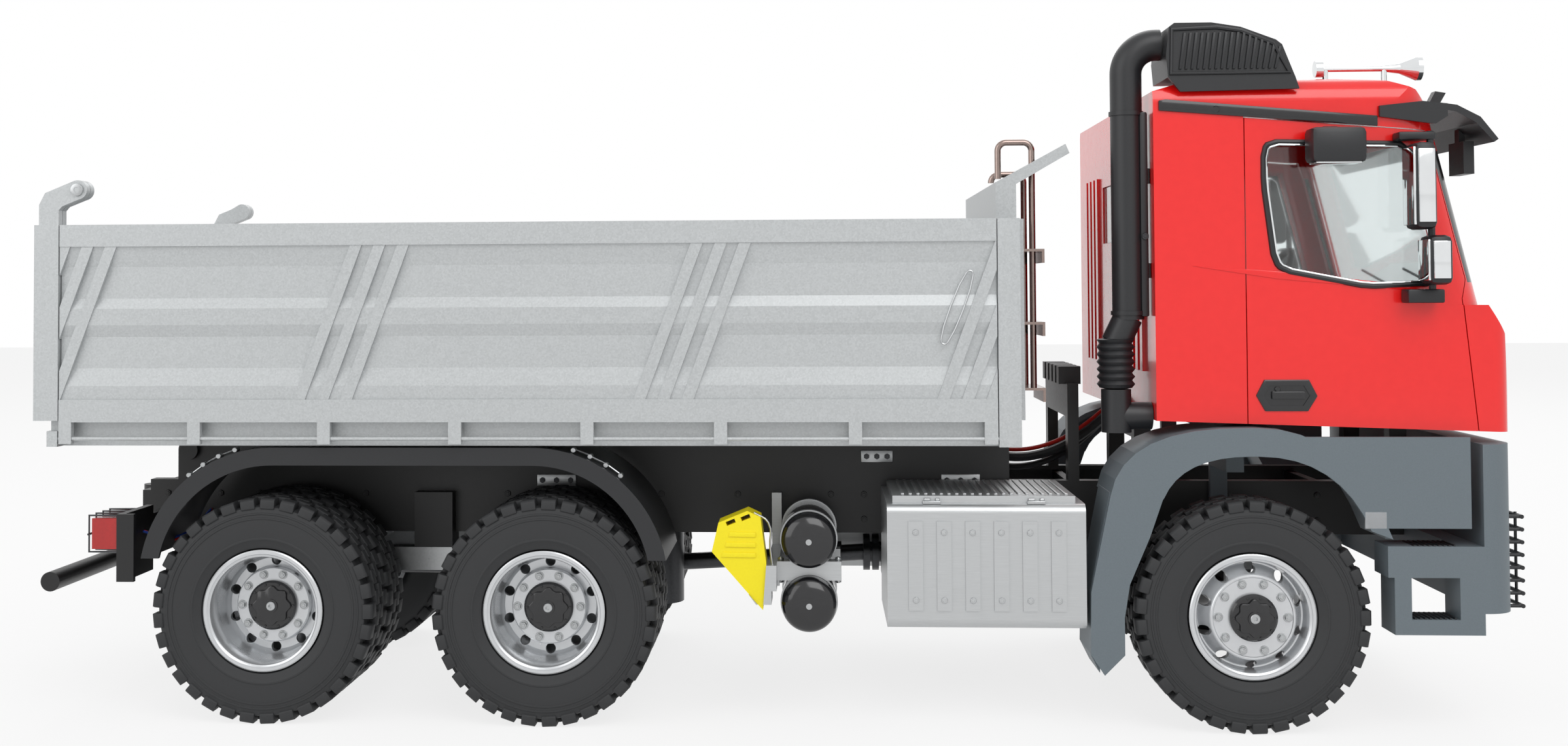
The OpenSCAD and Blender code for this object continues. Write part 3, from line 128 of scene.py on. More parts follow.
@dataclass(frozen=True)
class Finish:
    """A material, by what it is and how its surface was made.

    colour and shade are the two hex colours that it drifts between, and size_mm is its
    pattern's real spacing. A pattern finer than the render shows is drawn coarser.
    """

    name: str
    colour: str
    shade: str
    roughness: float
    pattern: Pattern = Pattern.MOULDED
    size_mm: float = 0.8
    relief_mm: float = 0.01
    metallic: float = 0.0
    spread: float = 0.06
    coat: float = 0.0
    transmission: float = 0.0

    def relief(self, tree: bpy.types.NodeTree) -> bpy.types.NodeSocket:
        """Adds the fine pattern and returns its height socket.

        Args:
            tree: The node tree that takes the nodes.

        Returns:
            The height socket.
        """
        place = add_node(tree, "ShaderNodeTexCoord").outputs["Object"]
        if self.pattern is Pattern.BRUSHED:
            # brushing draws the grain out along the truck
            stretch = add_node(tree, "ShaderNodeMapping", {"Scale": (0.04, 1, 1)}, {"Vector": place})
            place = stretch.outputs["Vector"]
        if self.pattern is Pattern.FLAKE:
            flakes = add_node(
                tree, "ShaderNodeTexVoronoi", {"Scale": 1000 / self.size_mm}, {"Vector": place}
            )
            return flakes.outputs["Color"]
        detail = 6.0 if self.pattern is Pattern.CAST else 3.0
        grain = add_node(
            tree,
            "ShaderNodeTexNoise",
            {"Scale": 1000 / self.size_mm, "Detail": detail},
            {"Vector": place},
        )
        return grain.outputs["Fac"]

    def material(self) -> bpy.types.Material:
        """Returns the material, made on its first use."""
        made = bpy.data.materials.get(self.name)
        if made:
            return made
        made = bpy.data.materials.new(self.name)
        made.use_nodes = True
        tree = made.node_tree
        shader = tree.nodes["Principled BSDF"]
        shader.inputs["Metallic"].default_value = self.metallic
        shader.inputs["Coat Weight"].default_value = self.coat
        shader.inputs["Coat Roughness"].default_value = 0.05
        shader.inputs["Transmission Weight"].default_value = self.transmission
        height = self.relief(tree)
        mix = add_node(
            tree,
            "ShaderNodeMix",
            {"data_type": "RGBA"},
            {"Factor": height},
        )
        mix.inputs[6].default_value = linear(self.colour)
        mix.inputs[7].default_value = linear(self.shade)
        tree.links.new(self.colour_socket(tree, mix.outputs[2]), shader.inputs["Base Color"])
        rough = add_node(
            tree,
            "ShaderNodeMapRange",
            {"To Min": max(0.02, self.roughness - self.spread), "To Max": self.roughness + self.spread},
            {"Value": height},
        )
        tree.links.new(rough.outputs["Result"], shader.inputs["Roughness"])
        bump = add_node(
            tree, "ShaderNodeBump", {"Strength": 0.5, "Distance": self.relief_mm * MM}, {"Height": height}
        )
        tree.links.new(bump.outputs["Normal"], shader.inputs["Normal"])
        return made

    def colour_socket(
        self, tree: bpy.types.NodeTree, colour: bpy.types.NodeSocket
    ) -> bpy.types.NodeSocket:
        """Returns the colour that the shader takes; a finish with printed bands changes it."""
        return colour


@dataclass(frozen=True)
class PillarPaint(Finish):
    """Gloss paint with a black strip down each screen pillar.

    The strip is the band between two lines that lean with the screen, in side view.
    """

    black: str = "141416"
    top: tuple[float, float] = (223.6, 192.0)
    foot: tuple[float, float] = (234.7, 148.0)
    half_width: float = 1.9

    def colour_socket(
        self, tree: bpy.types.NodeTree, colour: bpy.types.NodeSocket
    ) -> bpy.types.NodeSocket:
        """Adds the strip over the paint.

        Args:
            tree: The node tree that takes the nodes.
            colour: The finish's own colour socket.

        Returns:
            The colour socket with the strip.
        """
        place = add_node(tree, "ShaderNodeTexCoord").outputs["Object"]
        split = add_node(tree, "ShaderNodeSeparateXYZ", links={"Vector": place})
        lean = (self.top[0] - self.foot[0]) / (self.top[1] - self.foot[1])
        base = (self.foot[0] - lean * self.foot[1]) * MM
        line = add_node(
            tree,
            "ShaderNodeMath",
            {"operation": "MULTIPLY_ADD", 1: -lean, 2: -base},
            {0: split.outputs["Z"]},
        )
        off = add_node(
            tree, "ShaderNodeMath", {"operation": "ADD"}, {0: split.outputs["X"], 1: line.outputs[0]}
        )
        away = add_node(tree, "ShaderNodeMath", {"operation": "ABSOLUTE"}, {0: off.outputs[0]})
        tests = [("LESS_THAN", away.outputs[0], self.half_width * MM)]
        tests.append(("GREATER_THAN", split.outputs["Z"], self.foot[1] * MM))
        tests.append(("LESS_THAN", split.outputs["Z"], self.top[1] * MM))
        across = add_node(tree, "ShaderNodeMath", {"operation": "ABSOLUTE"}, {0: split.outputs["Y"]})
        tests.append(("GREATER_THAN", across.outputs[0], 74 * MM))
        inside = None
        for operation, socket, limit in tests:
            test = add_node(tree, "ShaderNodeMath", {"operation": operation, 1: limit}, {0: socket})
            if inside is None:
                inside = test.outputs[0]
            else:
                inside = add_node(
                    tree, "ShaderNodeMath", {"operation": "MULTIPLY"}, {0: inside, 1: test.outputs[0]}
                ).outputs[0]
        strip = add_node(tree, "ShaderNodeMix", {"data_type": "RGBA"}, {"Factor": inside})
        tree.links.new(colour, strip.inputs[6])
        strip.inputs[7].default_value = linear(self.black)
        return strip.outputs[2]


# sprayed metal-flake paint on steel sheet: two greys that sparkle a little
BED_PAINT = Finish("silver flake paint", "b0b3b4", "bfc2c3", 0.4, Pattern.FLAKE, 0.55, 0.004, 0.3, 0.05)
# ABS moulded in a polished tool: deep red under a clear reflection
CAB_PAINT = PillarPaint("red gloss ABS", "e8100f", "ee1715", 0.22, coat=0.4, relief_mm=0.004, size_mm=3)
# ABS moulded in a spark-textured tool: an even grey with a broad, dull shine
GREY_ABS = Finish("grey textured ABS", "5f696f", "6a747a", 0.5, size_mm=0.5, relief_mm=0.015)
# nylon with its moulded skin: near black, with a satin edge of light
BLACK_NYLON = Finish("black satin nylon", "18191b", "222326", 0.42, size_mm=0.6, relief_mm=0.015)
# ABS from a mirror-polished tool: black with sharp reflections
BLACK_GLOSS = Finish("black gloss ABS", "101012", "1c1c1f", 0.16, size_mm=2, relief_mm=0.004, coat=0.3)
# enamel sprayed on folded steel: a slight orange peel in a soft shine
FRAME_PAINT = Finish("black satin enamel", "0c0c0d", "161617", 0.4, Pattern.CAST, 1.2, 0.01)
# vulcanised rubber from a blasted mould: matt and slightly dusty
RUBBER = Finish("black tyre rubber", "232425", "2e2f31", 0.66, Pattern.CAST, 0.9, 0.02)
# clear lacquer over turned wheels: bright silver with smooth highlights
RIM_LACQUER = Finish("silver wheel lacquer", "c6c8ca", "cfd1d3", 0.26, Pattern.CAST, 2.5, 0.001, 0.7, 0.03)
# sheet brushed along the truck: highlights drawn out across the grain
ALUMINIUM = Finish(
    "brushed aluminium sheet", "b4b6b7", "c4c6c7", 0.36, Pattern.BRUSHED, 0.3, 0.006, 0.75, 0.1
)
# electroplated zinc: a pale, faintly mottled metal
STEEL = Finish("zinc-plated steel", "a9abac", "bdbfc0", 0.3, Pattern.CAST, 0.8, 0.006, 0.95)
# heat-blued steel: a dark metal with soft highlights
DARK_STEEL = Finish("blued steel", "3a3b3d", "4b4c4e", 0.34, Pattern.CAST, 0.9, 0.008, 0.85)
# plated over polished metal: a clean mirror
CHROME = Finish(
    "bright chrome plate", "dcdedf", "e6e8e9", 0.07, size_mm=4, relief_mm=0.001, metallic=1.0, spread=0.02
)
# tube with a bronzed plating: a warm, glossy metal
BRONZED = Finish("bronzed steel tube", "8a7a74", "a08f88", 0.2, Pattern.CAST, 1.5, 0.002, 1.0)
# flat-cast acrylic: clear, with a faint green-grey cast
GLASS = Finish(
    "clear acrylic glazing", "eef3f3", "f2f6f6", 0.04, size_mm=20, relief_mm=0, spread=0.01, transmission=1.0
)
# lens moulded with fine flutes, which break up what lies behind
CLEAR_LENS = Finish(
    "clear fluted lens", "eef0f2", "f6f8fa", 0.08, size_mm=1.2, relief_mm=0.1, spread=0.02, transmission=0.7
)
# tinted lens, moulded: a deep red that lets a little light in
RED_LENS = Finish(
    "red translucent lens", "b01210", "c81a16", 0.12, size_mm=1.2, relief_mm=0.05, transmission=0.25, coat=0.4
)
# ABS moulded in a plain tool: an even, saturated yellow
YELLOW_ABS = Finish("yellow moulded ABS", "efdc00", "f7e60a", 0.38, size_mm=0.7)
# grained trim sheet: a dull near black
INTERIOR = Finish("dark grained trim", "1c1c1e", "2a2a2c", 0.6, size_mm=0.7, relief_mm=0.03)
# extruded cable sheaths: plain colours with a soft shine
SHEATH_BLACK = Finish("black cable sheath", "121213", "1e1e1f", 0.4, size_mm=1)
SHEATH_RED = Finish("red wire sheath", "b81c12", "c82418", 0.4, size_mm=1)
SHEATH_YELLOW = Finish("yellow wire sheath", "d0b414", "dcc01e", 0.4, size_mm=1)
SHEATH_BLUE = Finish("blue wire sheath", "1c3c8c", "26489c", 0.4, size_mm=1)

NODE_FINISH: dict[str, Finish] = {
    **dict.fromkeys(["frame_rails", "subframe", "axles", "rear_underrun", "cab_support"], FRAME_PAINT),
    **dict.fromkeys(["knuckle_left", "knuckle_right", "tie_rod", "driveline", "cylinder_barrel"], DARK_STEEL),
    **dict.fromkeys(["leaf_springs"], STEEL),
    **dict.fromkeys(["cylinder_tube", "cylinder_inner_tube", "cylinder_rod", "air_horn"], CHROME),
    **dict.fromkeys(["toolbox", "fuel_tank", "tank_brackets"], ALUMINIUM),
    **dict.fromkeys(["bed_floor", "headboard", "side_gate_left", "side_gate_right", "tailgate"], BED_PAINT),
    **dict.fromkeys(["ladder"], BRONZED),
    **dict.fromkeys(["mudguards", "roof_intake", "sun_visor", "front_mirrors", "lamp_guards"], BLACK_NYLON),
    **dict.fromkeys(["snorkel", "front_grille"], BLACK_NYLON),
    **dict.fromkeys(["front_fenders", "entry_steps", "bumper"], GREY_ABS),
    **dict.fromkeys(["cab_shell", "door_left", "door_right"], CAB_PAINT),
    **dict.fromkeys(["cab_glass", "door_glass_left", "door_glass_right"], GLASS),
    **dict.fromkeys(["cab_interior"], INTERIOR),
    **dict.fromkeys(["head_lamps"], CLEAR_LENS),
    **dict.fromkeys(["rear_lamps"], RED_LENS),
    **dict.fromkeys(["wheel_chocks"], YELLOW_ABS),
    **dict.fromkeys(["cab_cables"], SHEATH_BLACK),
    **dict.fromkeys(["air_tanks"], BLACK_GLOSS),
    **dict.fromkeys([f"mirrors_{s}" for s in SIDES], BLACK_NYLON),
    **dict.fromkeys([f"tyre_front_{s}" for s in SIDES], RUBBER),
    **dict.fromkeys([f"tyres_{a}_{s}" for a in ("middle", "rear") for s in SIDES], RUBBER),
    **dict.fromkeys([f"rim_front_{s}" for s in SIDES], RIM_LACQUER),
    **dict.fromkeys([f"rims_{a}_{s}" for a in ("middle", "rear") for s in SIDES], RIM_LACQUER),
}


# --- shaping ------------------------------------------------------------------------


def deselect() -> None:
    """Leaves edit mode and deselects every object."""
    if bpy.context.object and bpy.context.object.mode != "OBJECT":
        bpy.ops.object.mode_set(mode="OBJECT")
    bpy.ops.object.select_all(action="DESELECT")


def only(obj: Object) -> Object:
    """Selects one object alone and makes it active.

    Args:
        obj: The object.

    Returns:
        The same object.
    """
    deselect()
    obj.select_set(True)
    bpy.context.view_layer.objects.active = obj
    return obj


def settle(obj: Object) -> Object:
    """Moves an object's place, turn and size into its mesh.

    Args:
        obj: The object.

    Returns:
        The same object.
    """
    only(obj)
    bpy.ops.object.transform_apply(location=True, rotation=True, scale=True)
    return obj


def soften(obj: Object, width: float, segments: int = 2) -> Object:
    """Bevels an object's sharp edges by a width in millimetres.

    Args:
        obj: The object.
        width: The bevels' width.
        segments: Steps in each bevel.

    Returns:
        The same object.
    """
    if width > 0:
        only(obj)
        bevel = obj.modifiers.new("soft edge", "BEVEL")
        bevel.width = width * MM
        bevel.segments = segments
        bevel.limit_method = "ANGLE"
        bpy.ops.object.modifier_apply(modifier=bevel.name)
    return obj


def block(low: Sequence[float], high: Sequence[float], edge: float = 0.3) -> Object:
    """Makes a soft-edged block between two corners.

    Args:
        low: Lowest corner.
        high: Highest corner.
        edge: Width of its bevels.

    Returns:
        The block.
    """
    deselect()
    centre = [(a + b) / 2 * MM for a, b in zip(low, high)]
    size = [(b - a) * MM for a, b in zip(low, high)]
    bpy.ops.mesh.primitive_cube_add(size=1, location=centre, scale=size)
    return soften(settle(bpy.context.object), min(edge, min(size) / MM * 0.3))


TURN = {"X": (0, math.pi / 2, 0), "Y": (-math.pi / 2, 0, 0), "Z": (0, 0, 0)}


def rod(
    centre: Point, axis: str, radius: float, length: float, sides: int = 24, edge: float = 0.15
) -> Object:
    """Makes a soft-edged round or hexagonal rod about its centre.

    Args:
        centre: The middle, in millimetres.
        axis: The axis, "X", "Y" or "Z".
        radius: Its radius.
        length: Its length.
        sides: Faces round it.
        edge: Width of its bevels.

    Returns:
        The rod.
    """
    deselect()
    bpy.ops.mesh.primitive_cylinder_add(
        vertices=sides,
        radius=radius * MM,
        depth=length * MM,
        location=[c * MM for c in centre],
        rotation=TURN[axis],
    )
    return soften(settle(bpy.context.object), min(edge, radius * 0.3, length * 0.3), 1)


def loop(points: Iterable[Point]) -> Object:
    """Makes a closed ring of vertices at these points.

    Args:
        points: The points, in millimetres.

    Returns:
        The ring.
    """
    places = [Vector(p) * MM for p in points]
    deselect()
    bpy.ops.mesh.primitive_circle_add(vertices=len(places), radius=1)
    obj = bpy.context.object
    for vertex, place in zip(obj.data.vertices, places):
        vertex.co = place
    obj.location = (0, 0, 0)
    return settle(obj)


def lathe(profile: Sequence[tuple[float, float]], centre: Point, axis: str = "Y", steps: int = 72) -> Object:
    """Spins a closed profile of radius and place along an axis.

    Args:
        profile: Pairs of radius and distance along the axis from the centre.
        centre: A point on the axis.
        axis: The axis, "X", "Y" or "Z".
        steps: Segments in the full turn.

    Returns:
        The turned piece.
    """
    across = {"X": (0, 0, 1), "Y": (1, 0, 0), "Z": (1, 0, 0)}[axis]
    along = {"X": (1, 0, 0), "Y": (0, 1, 0), "Z": (0, 0, 1)}[axis]
    obj = loop([tuple(c + r * a + d * b for c, a, b in zip(centre, across, along)) for r, d in profile])
    bpy.ops.object.mode_set(mode="EDIT")
    bpy.ops.mesh.select_all(action="SELECT")
    bpy.ops.mesh.spin(steps=steps, angle=2 * math.pi, center=[c * MM for c in centre], axis=along)
    bpy.ops.mesh.select_all(action="SELECT")
    bpy.ops.mesh.remove_doubles(threshold=1e-6)
    bpy.ops.mesh.dissolve_degenerate(threshold=1e-6)
    bpy.ops.mesh.normals_make_consistent(inside=False)
    bpy.ops.object.mode_set(mode="OBJECT")
    return obj


def prism(
    outline: Sequence[tuple[float, float]], plane: str, start: float, end: float, edge: float = 0.2
) -> Object:
    """Extrudes an outline.

    Args:
        outline: Its points in the plane.
        plane: "XZ" runs along Y, "YZ" along X and "XY" along Z.
        start: Place of the first face along the third axis.
        end: Place of the last face.
        edge: Width of its bevels.

    Returns:
        The extruded piece.
    """
    order = {"XZ": (0, 2, 1), "YZ": (1, 2, 0), "XY": (0, 1, 2)}[plane]

    def at(pair: tuple[float, float]) -> Point:
        """Puts a point of the outline in space.

        Args:
            pair: The outline's point.

        Returns:
            The place in space.
        """
        place = [0.0, 0.0, 0.0]
        place[order[0]], place[order[1]], place[order[2]] = pair[0], pair[1], start
        return tuple(place)

    obj = loop([at(p) for p in outline])
    shift = [0.0, 0.0, 0.0]
    shift[order[2]] = (end - start) * MM
    bpy.ops.object.mode_set(mode="EDIT")
    bpy.ops.mesh.select_all(action="SELECT")
    bpy.ops.mesh.edge_face_add()
    bpy.ops.mesh.extrude_region_move(TRANSFORM_OT_translate={"value": shift})
    bpy.ops.mesh.select_all(action="SELECT")
    bpy.ops.mesh.normals_make_consistent(inside=False)
    bpy.ops.object.mode_set(mode="OBJECT")
    return soften(obj, min(edge, abs(end - start) * 0.3))


def wire(points: Sequence[Point], radius: float, closed: bool = False, smooth: bool = True) -> Object:
    """Makes a round wire through points, as a mesh.

    Args:
        points: The points, in millimetres.
        radius: Its radius.
        closed: Whether the ends meet.
        smooth: Whether it curves through the points.

    Returns:
        The wire.
    """
    data = bpy.data.curves.new("wire", "CURVE")
    data.dimensions = "3D"
    data.bevel_depth = radius * MM
    data.bevel_resolution = 2
    data.resolution_u = 4
    data.use_fill_caps = True
    spline = data.splines.new("BEZIER" if smooth else "POLY")
    if smooth:
        spline.bezier_points.add(len(points) - 1)
        for knot, place in zip(spline.bezier_points, points):
            knot.co = Vector(place) * MM
            knot.handle_left_type = knot.handle_right_type = "AUTO"
    else:
        spline.points.add(len(points) - 1)
        for knot, place in zip(spline.points, points):
            knot.co = (*(Vector(place) * MM), 1)
    spline.use_cyclic_u = closed
    obj = bpy.data.objects.new("wire", data)
    bpy.context.collection.objects.link(obj)
    only(obj)
    bpy.ops.object.convert(target="MESH")
    return bpy.context.object


def twin(obj: Object, move: Matrix) -> Object:
    """Copies an object with a mesh of its own, moved by a matrix in metres.

    Args:
        obj: The object.
        move: The move, in metres.

    Returns:
        The copy.
    """
    copy = obj.copy()
    copy.data = obj.data.copy()
    copy.data.transform(move)
    bpy.context.collection.objects.link(copy)
    if move.to_3x3().determinant() < 0:
        copy.data.flip_normals()
    return copy


def shifted(x: float = 0, y: float = 0, z: float = 0) -> Matrix:
    """Returns a move in millimetres."""
    return Matrix.Translation(Vector((x, y, z)) * MM)


def turned(centre: Point, axis: str, degrees: float) -> Matrix:
    """Returns a turn about an axis through a point."""
    place = Matrix.Translation(Vector(centre) * MM)
    return place @ Matrix.Rotation(math.radians(degrees), 4, axis) @ place.inverted()


FLIP = Matrix.Scale(-1, 4, (0, 1, 0))


def joined(parts: Sequence[Object]) -> Object:
    """Joins objects into one.

    Args:
        parts: The objects.

    Returns:
        The one object.
    """
    deselect()
    for part in parts:
        part.select_set(True)
    bpy.context.view_layer.objects.active = parts[0]
    if len(parts) > 1:
        bpy.ops.object.join()
    return bpy.context.object


def ring_of(obj: Object, count: int, centre: Point, axis: str = "Y") -> Object:
    """Repeats an object round an axis, in one mesh."""
    return joined([obj] + [twin(obj, turned(centre, axis, 360 * i / count)) for i in range(1, count)])


def cut(obj: Object, tool: Object) -> Object:
    """Cuts a tool's shape out of an object and removes the tool.

    Args:
        obj: The object.
        tool: The shape to cut away, which is removed.

    Returns:
        The cut object.
    """
    only(obj)
    boolean = obj.modifiers.new("cut", "BOOLEAN")
    boolean.object = tool
    boolean.operation = "DIFFERENCE"
    boolean.solver = "EXACT"
    boolean.use_self = True
    bpy.ops.object.modifier_apply(modifier=boolean.name)
    bpy.data.objects.remove(tool, do_unlink=True)
    return obj


def place(
    parts: Sequence[Object] | Object,
    name: str,
    body: str,
    finish: Finish,
    slot: str,
    replaces: Sequence[str] = (),
    smooth: float = 35,
) -> Object:
    """Finishes a piece: joins its parts and gives it a name, a finish and a body.

    Args:
        parts: What it is made of.
        name: The piece's name.
        body: The body that it rides on.
        finish: Its finish.
        slot: The record's material slot; it is not used.
        replaces: CAD nodes that it stands for.
        smooth: Edges flatter than this many degrees look smooth.

    Returns:
        The finished piece.
    """
    obj = joined(list(parts) if isinstance(parts, (list, tuple)) else [parts])
    obj.name = obj.data.name = name
    obj.data.materials.clear()
    obj.data.materials.append(finish.material())
    only(obj)
    bpy.ops.object.shade_smooth_by_angle(angle=math.radians(smooth))
    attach(obj, body)
    if replaces:
        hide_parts(*replaces)
    LOG.info("%s rides on %s, %d faces", name, body, len(obj.data.polygons))
    return obj


def hex_bolt(centre: Point, axis: str, out: float, size: float = 1.1, height: float = 0.7) -> Object:
    """Makes a hexagon bolt head with its stud's end, standing out along an axis.

    Args:
        centre: The middle, in millimetres.
        axis: The axis, "X", "Y" or "Z".
        out: The way it stands out: 1 or -1.
        size: Its radius.
        height: Its head's height.

    Returns:
        The bolt head.
    """
    step = {"X": (1, 0, 0), "Y": (0, 1, 0), "Z": (0, 0, 1)}[axis]
    head = tuple(c + out * s * height / 2 for c, s in zip(centre, step))
    stud = tuple(c + out * s * (height + 0.2) / 2 for c, s in zip(centre, step))
    return joined(
        [rod(head, axis, size, height, 6, 0.12), rod(stud, axis, size * 0.5, height + 0.3, 12, 0.1)]
    )


# --- wheels --------------------------------------------------------------------------


@dataclass
class Tyre:
    """A tyre with block tread, made at one wheel and copied to the others."""

    radius: float = 38.17
    lugs: int = 33
    lug_length: float = 4.9

    def carcass(self, centre: Point) -> Object:
        """Spins the casing with its bead and sidewall rings.

        Args:
            centre: The middle, in millimetres.

        Returns:
            The casing.
        """
        side = [
            (20.35, 7.65), (21.05, 8.7), (21.3, 9.9), (22.4, 10.5), (24.0, 10.75), (24.25, 10.98),
            (24.7, 10.98), (24.95, 10.8), (28.5, 11.0), (31.0, 10.9), (31.2, 11.12), (31.6, 11.1),
            (31.8, 10.88), (32.6, 10.8), (32.8, 11.02), (33.2, 10.98), (33.4, 10.72), (35.2, 10.3),
            (35.7, 9.2),
        ]  # fmt: skip
        # the inboard wall is plain and keeps clear of the tie rod at full lock
        inboard = [
            (20.35, 7.5), (22.4, 8.9), (24.0, 10.05), (28.5, 10.85), (31.0, 11.1), (33.4, 10.7), (35.7, 9.2),
        ]  # fmt: skip
        return lathe(inboard + [(r, -a) for r, a in reversed(side)], centre, steps=96)

    def lug(self, centre: Point, outline: Sequence[tuple[float, float]], turn: float) -> Object:
        """Extrudes one tread block and turns it to its place.

        Args:
            centre: The middle, in millimetres.
            outline: The block's section.
            turn: Degrees round the wheel.

        Returns:
            The block.
        """
        x, y, z = centre
        half = self.lug_length / 2
        obj = prism([(y + a, z + r) for r, a in outline], "YZ", x - half, x + half, 0.25)
        obj.data.transform(turned(centre, "Y", turn))
        return obj

    def build(self, centre: Point) -> Object:
        """Makes the whole tyre about its centre.

        Args:
            centre: The middle, in millimetres.

        Returns:
            The tyre.
        """
        top = self.radius
        shoulder = [(34.3, 10.3), (34.8, 10.95), (37.4, 10.8), (top, 10.0), (top, 5.2), (35.4, 5.2)]
        crown = [(35.4, 0.5), (top, 0.5), (top, 4.2), (35.4, 4.2)]
        pitch = 360 / self.lugs
        rows = [self.carcass(centre)]
        for outline, turn in ((shoulder, 0.0), (crown, pitch / 2)):
            for mirror in (1, -1):
                face = [(r, a * mirror) for r, a in outline]
                offset = turn + (pitch * 0.25 if mirror < 0 else 0)
                rows.append(ring_of(self.lug(centre, face, offset), self.lugs, centre))
        return joined(rows)


@dataclass
class Wheels:
    """All wheels: tyres, lacquered rims, hub caps, nuts and screws.

    The right-hand wheels are made first; a half turn about the truck's middle gives the left.
    """

    axle_z: float = 38.25
    wheel_y: float = 76.35
    twin_y: float = 51.85
    front_x: float = 159.75
    middle_x: float = -75.25
    rear_x: float = -171.75

    def out(self, profile: Sequence[tuple[float, float]]) -> list[tuple[float, float]]:
        """Turns distances outward from the wheel into distances along Y on the right side."""
        return [(r, -a) for r, a in profile]

    def holes(
        self, rim: Object, centre: Point, ring: float, size: float, depth: tuple[float, float]
    ) -> Object:
        """Cuts ten hand holes through a rim's disc.

        Args:
            rim: The rim.
            centre: The middle, in millimetres.
            ring: Radius of the ring that the holes stand on.
            size: Each hole's radius.
            depth: Outward distances that the drill spans.

        Returns:
            The rim.
        """
        x, y, z = centre
        middle = y - (depth[0] + depth[1]) / 2
        drill = rod((x + ring, middle, z), "Y", size, abs(depth[1] - depth[0]), 24, 0)
        drill.data.transform(turned(centre, "Y", 18))
        return cut(rim, ring_of(drill, 10, centre))

    def front_rim(self, centre: Point) -> Object:
        """Makes the front rim, whose disc stands out.

        Args:
            centre: The middle, in millimetres.

        Returns:
            The rim.
        """
        profile = [
            (20.7, 9.05), (20.7, 10.1), (20.3, 10.4), (19.3, 10.4), (19.0, 10.0), (18.4, 9.8), (18.1, 9.3),
            (17.9, 5.6), (17.5, 4.6), (17.0, 4.5), (14.9, 8.2), (14.3, 9.3), (14.0, 10.0), (13.6, 10.3),
            (13.1, 10.25), (12.9, 10.0), (0, 10.0), (0, 5.4), (3.1, 5.4), (3.1, -2.8), (6.5, -2.8),
            (6.5, 8.0), (12.9, 8.0), (13.6, 7.2), (16.4, 2.6), (18.6, 2.2), (18.6, -10.15), (20.7, -10.15),
            (20.7, -9.05), (20.2, -9.05), (20.2, 9.05),
        ]  # fmt: skip
        return self.holes(lathe(self.out(profile), centre, steps=96), centre, 15.9, 1.75, (0, 12))

    def twin_rim(self, centre: Point) -> Object:
        """Makes the deep rear rim with its hub, and the inner wheel's rim.

        Args:
            centre: The middle, in millimetres.

        Returns:
            Both rims in one object.
        """
        profile = [
            (20.7, 9.05), (20.7, 10.1), (20.3, 10.4), (19.3, 10.4), (19.0, 10.0), (18.4, 9.8), (18.1, 9.2),
            (17.7, 2.0), (17.4, -3.0), (16.8, -5.0), (15.9, -5.9), (13.3, -6.0), (12.9, -5.6), (12.9, -2.9),
            (12.5, -2.4), (0, -2.4), (0, -7.6), (3.1, -7.6), (3.1, -24.9), (8.0, -24.9), (8.0, -8.0),
            (15.6, -8.0), (17.4, -6.6), (18.6, -4.6), (18.6, -10.15), (20.7, -10.15), (20.7, -9.05),
            (20.2, -9.05), (20.2, 9.05),
        ]  # fmt: skip
        outer = self.holes(lathe(self.out(profile), centre, steps=96), centre, 15.0, 1.75, (-12, -2))
        inner = [
            (18.6, -14.35), (20.7, -14.35), (20.7, -15.45), (20.2, -15.45), (20.2, -33.55),
            (20.7, -33.55), (20.7, -34.65), (18.6, -34.65), (18.6, -19.5), (8.2, -19.5), (8.2, -17.5),
            (18.6, -17.5),
        ]  # fmt: skip
        return joined([outer, lathe(self.out(inner), centre)])

    def hub_cap(self, centre: Point, radius: float, base: float) -> Object:
        """Makes the black cap with its scalloped plate and its ring of small heads.

        Args:
            centre: The middle, in millimetres.
            radius: Its radius.
            base: Outward distance of its foot.

        Returns:
            The cap.
        """
        x, y, z = centre
        rim = radius - 0.7
        dish = [(0, base), (radius, base), (radius, base + 1.2), (rim, base + 1.9), (0, base + 1.9)]
        bell = lathe(self.out(dish), centre, steps=64)
        lobes = [
            (
                x + (radius * 0.74 + 0.55 * math.cos(8 * a)) * math.cos(a),
                z + (radius * 0.74 + 0.55 * math.cos(8 * a)) * math.sin(a),
            )
            for a in [2 * math.pi * i / 64 for i in range(64)]
        ]
        star = prism(lobes, "XZ", y - base - 1.8, y - base - 2.9, 0.45)
        sleeve = [(1.7, base + 2.6), (2.4, base + 2.6), (2.3, base + 3.4), (1.7, base + 3.4)]
        collar = lathe(self.out(sleeve), centre, steps=32)
        heads = ring_of(rod((x + radius - 1.1, y - base - 1.9, z), "Y", 0.45, 0.7, 12), 10, centre)
        return joined([bell, star, collar, heads])

    def screw(self, centre: Point, base: float) -> Object:
        """Makes the steel screw in a hub cap's middle, with a socket in its head.

        Args:
            centre: The middle, in millimetres.
            base: Outward distance of its foot.

        Returns:
            The screw.
        """
        head = [
            (0, base), (1.6, base), (1.6, base + 0.8), (1.4, base + 1.0),
            (0.7, base + 1.0), (0.6, base + 0.3), (0, base + 0.3),
        ]  # fmt: skip
        return lathe(self.out(head), centre, steps=24)

    def nuts(self, centre: Point, ring: float, base: float) -> Object:
        """Makes the ten wheel nuts on their studs.

        Args:
            centre: The middle, in millimetres.
            ring: Radius of the ring that they stand on.
            base: Outward distance of its foot.

        Returns:
            The nuts in one object.
        """
        x, y, z = centre
        washer = rod((x + ring, y - base - 0.1, z), "Y", 1.55, 0.3, 20, 0.08)
        nut = hex_bolt((x + ring, y - base - 0.2, z), "Y", -1, 1.2, 1.1)
        return ring_of(joined([washer, nut]), 10, centre)

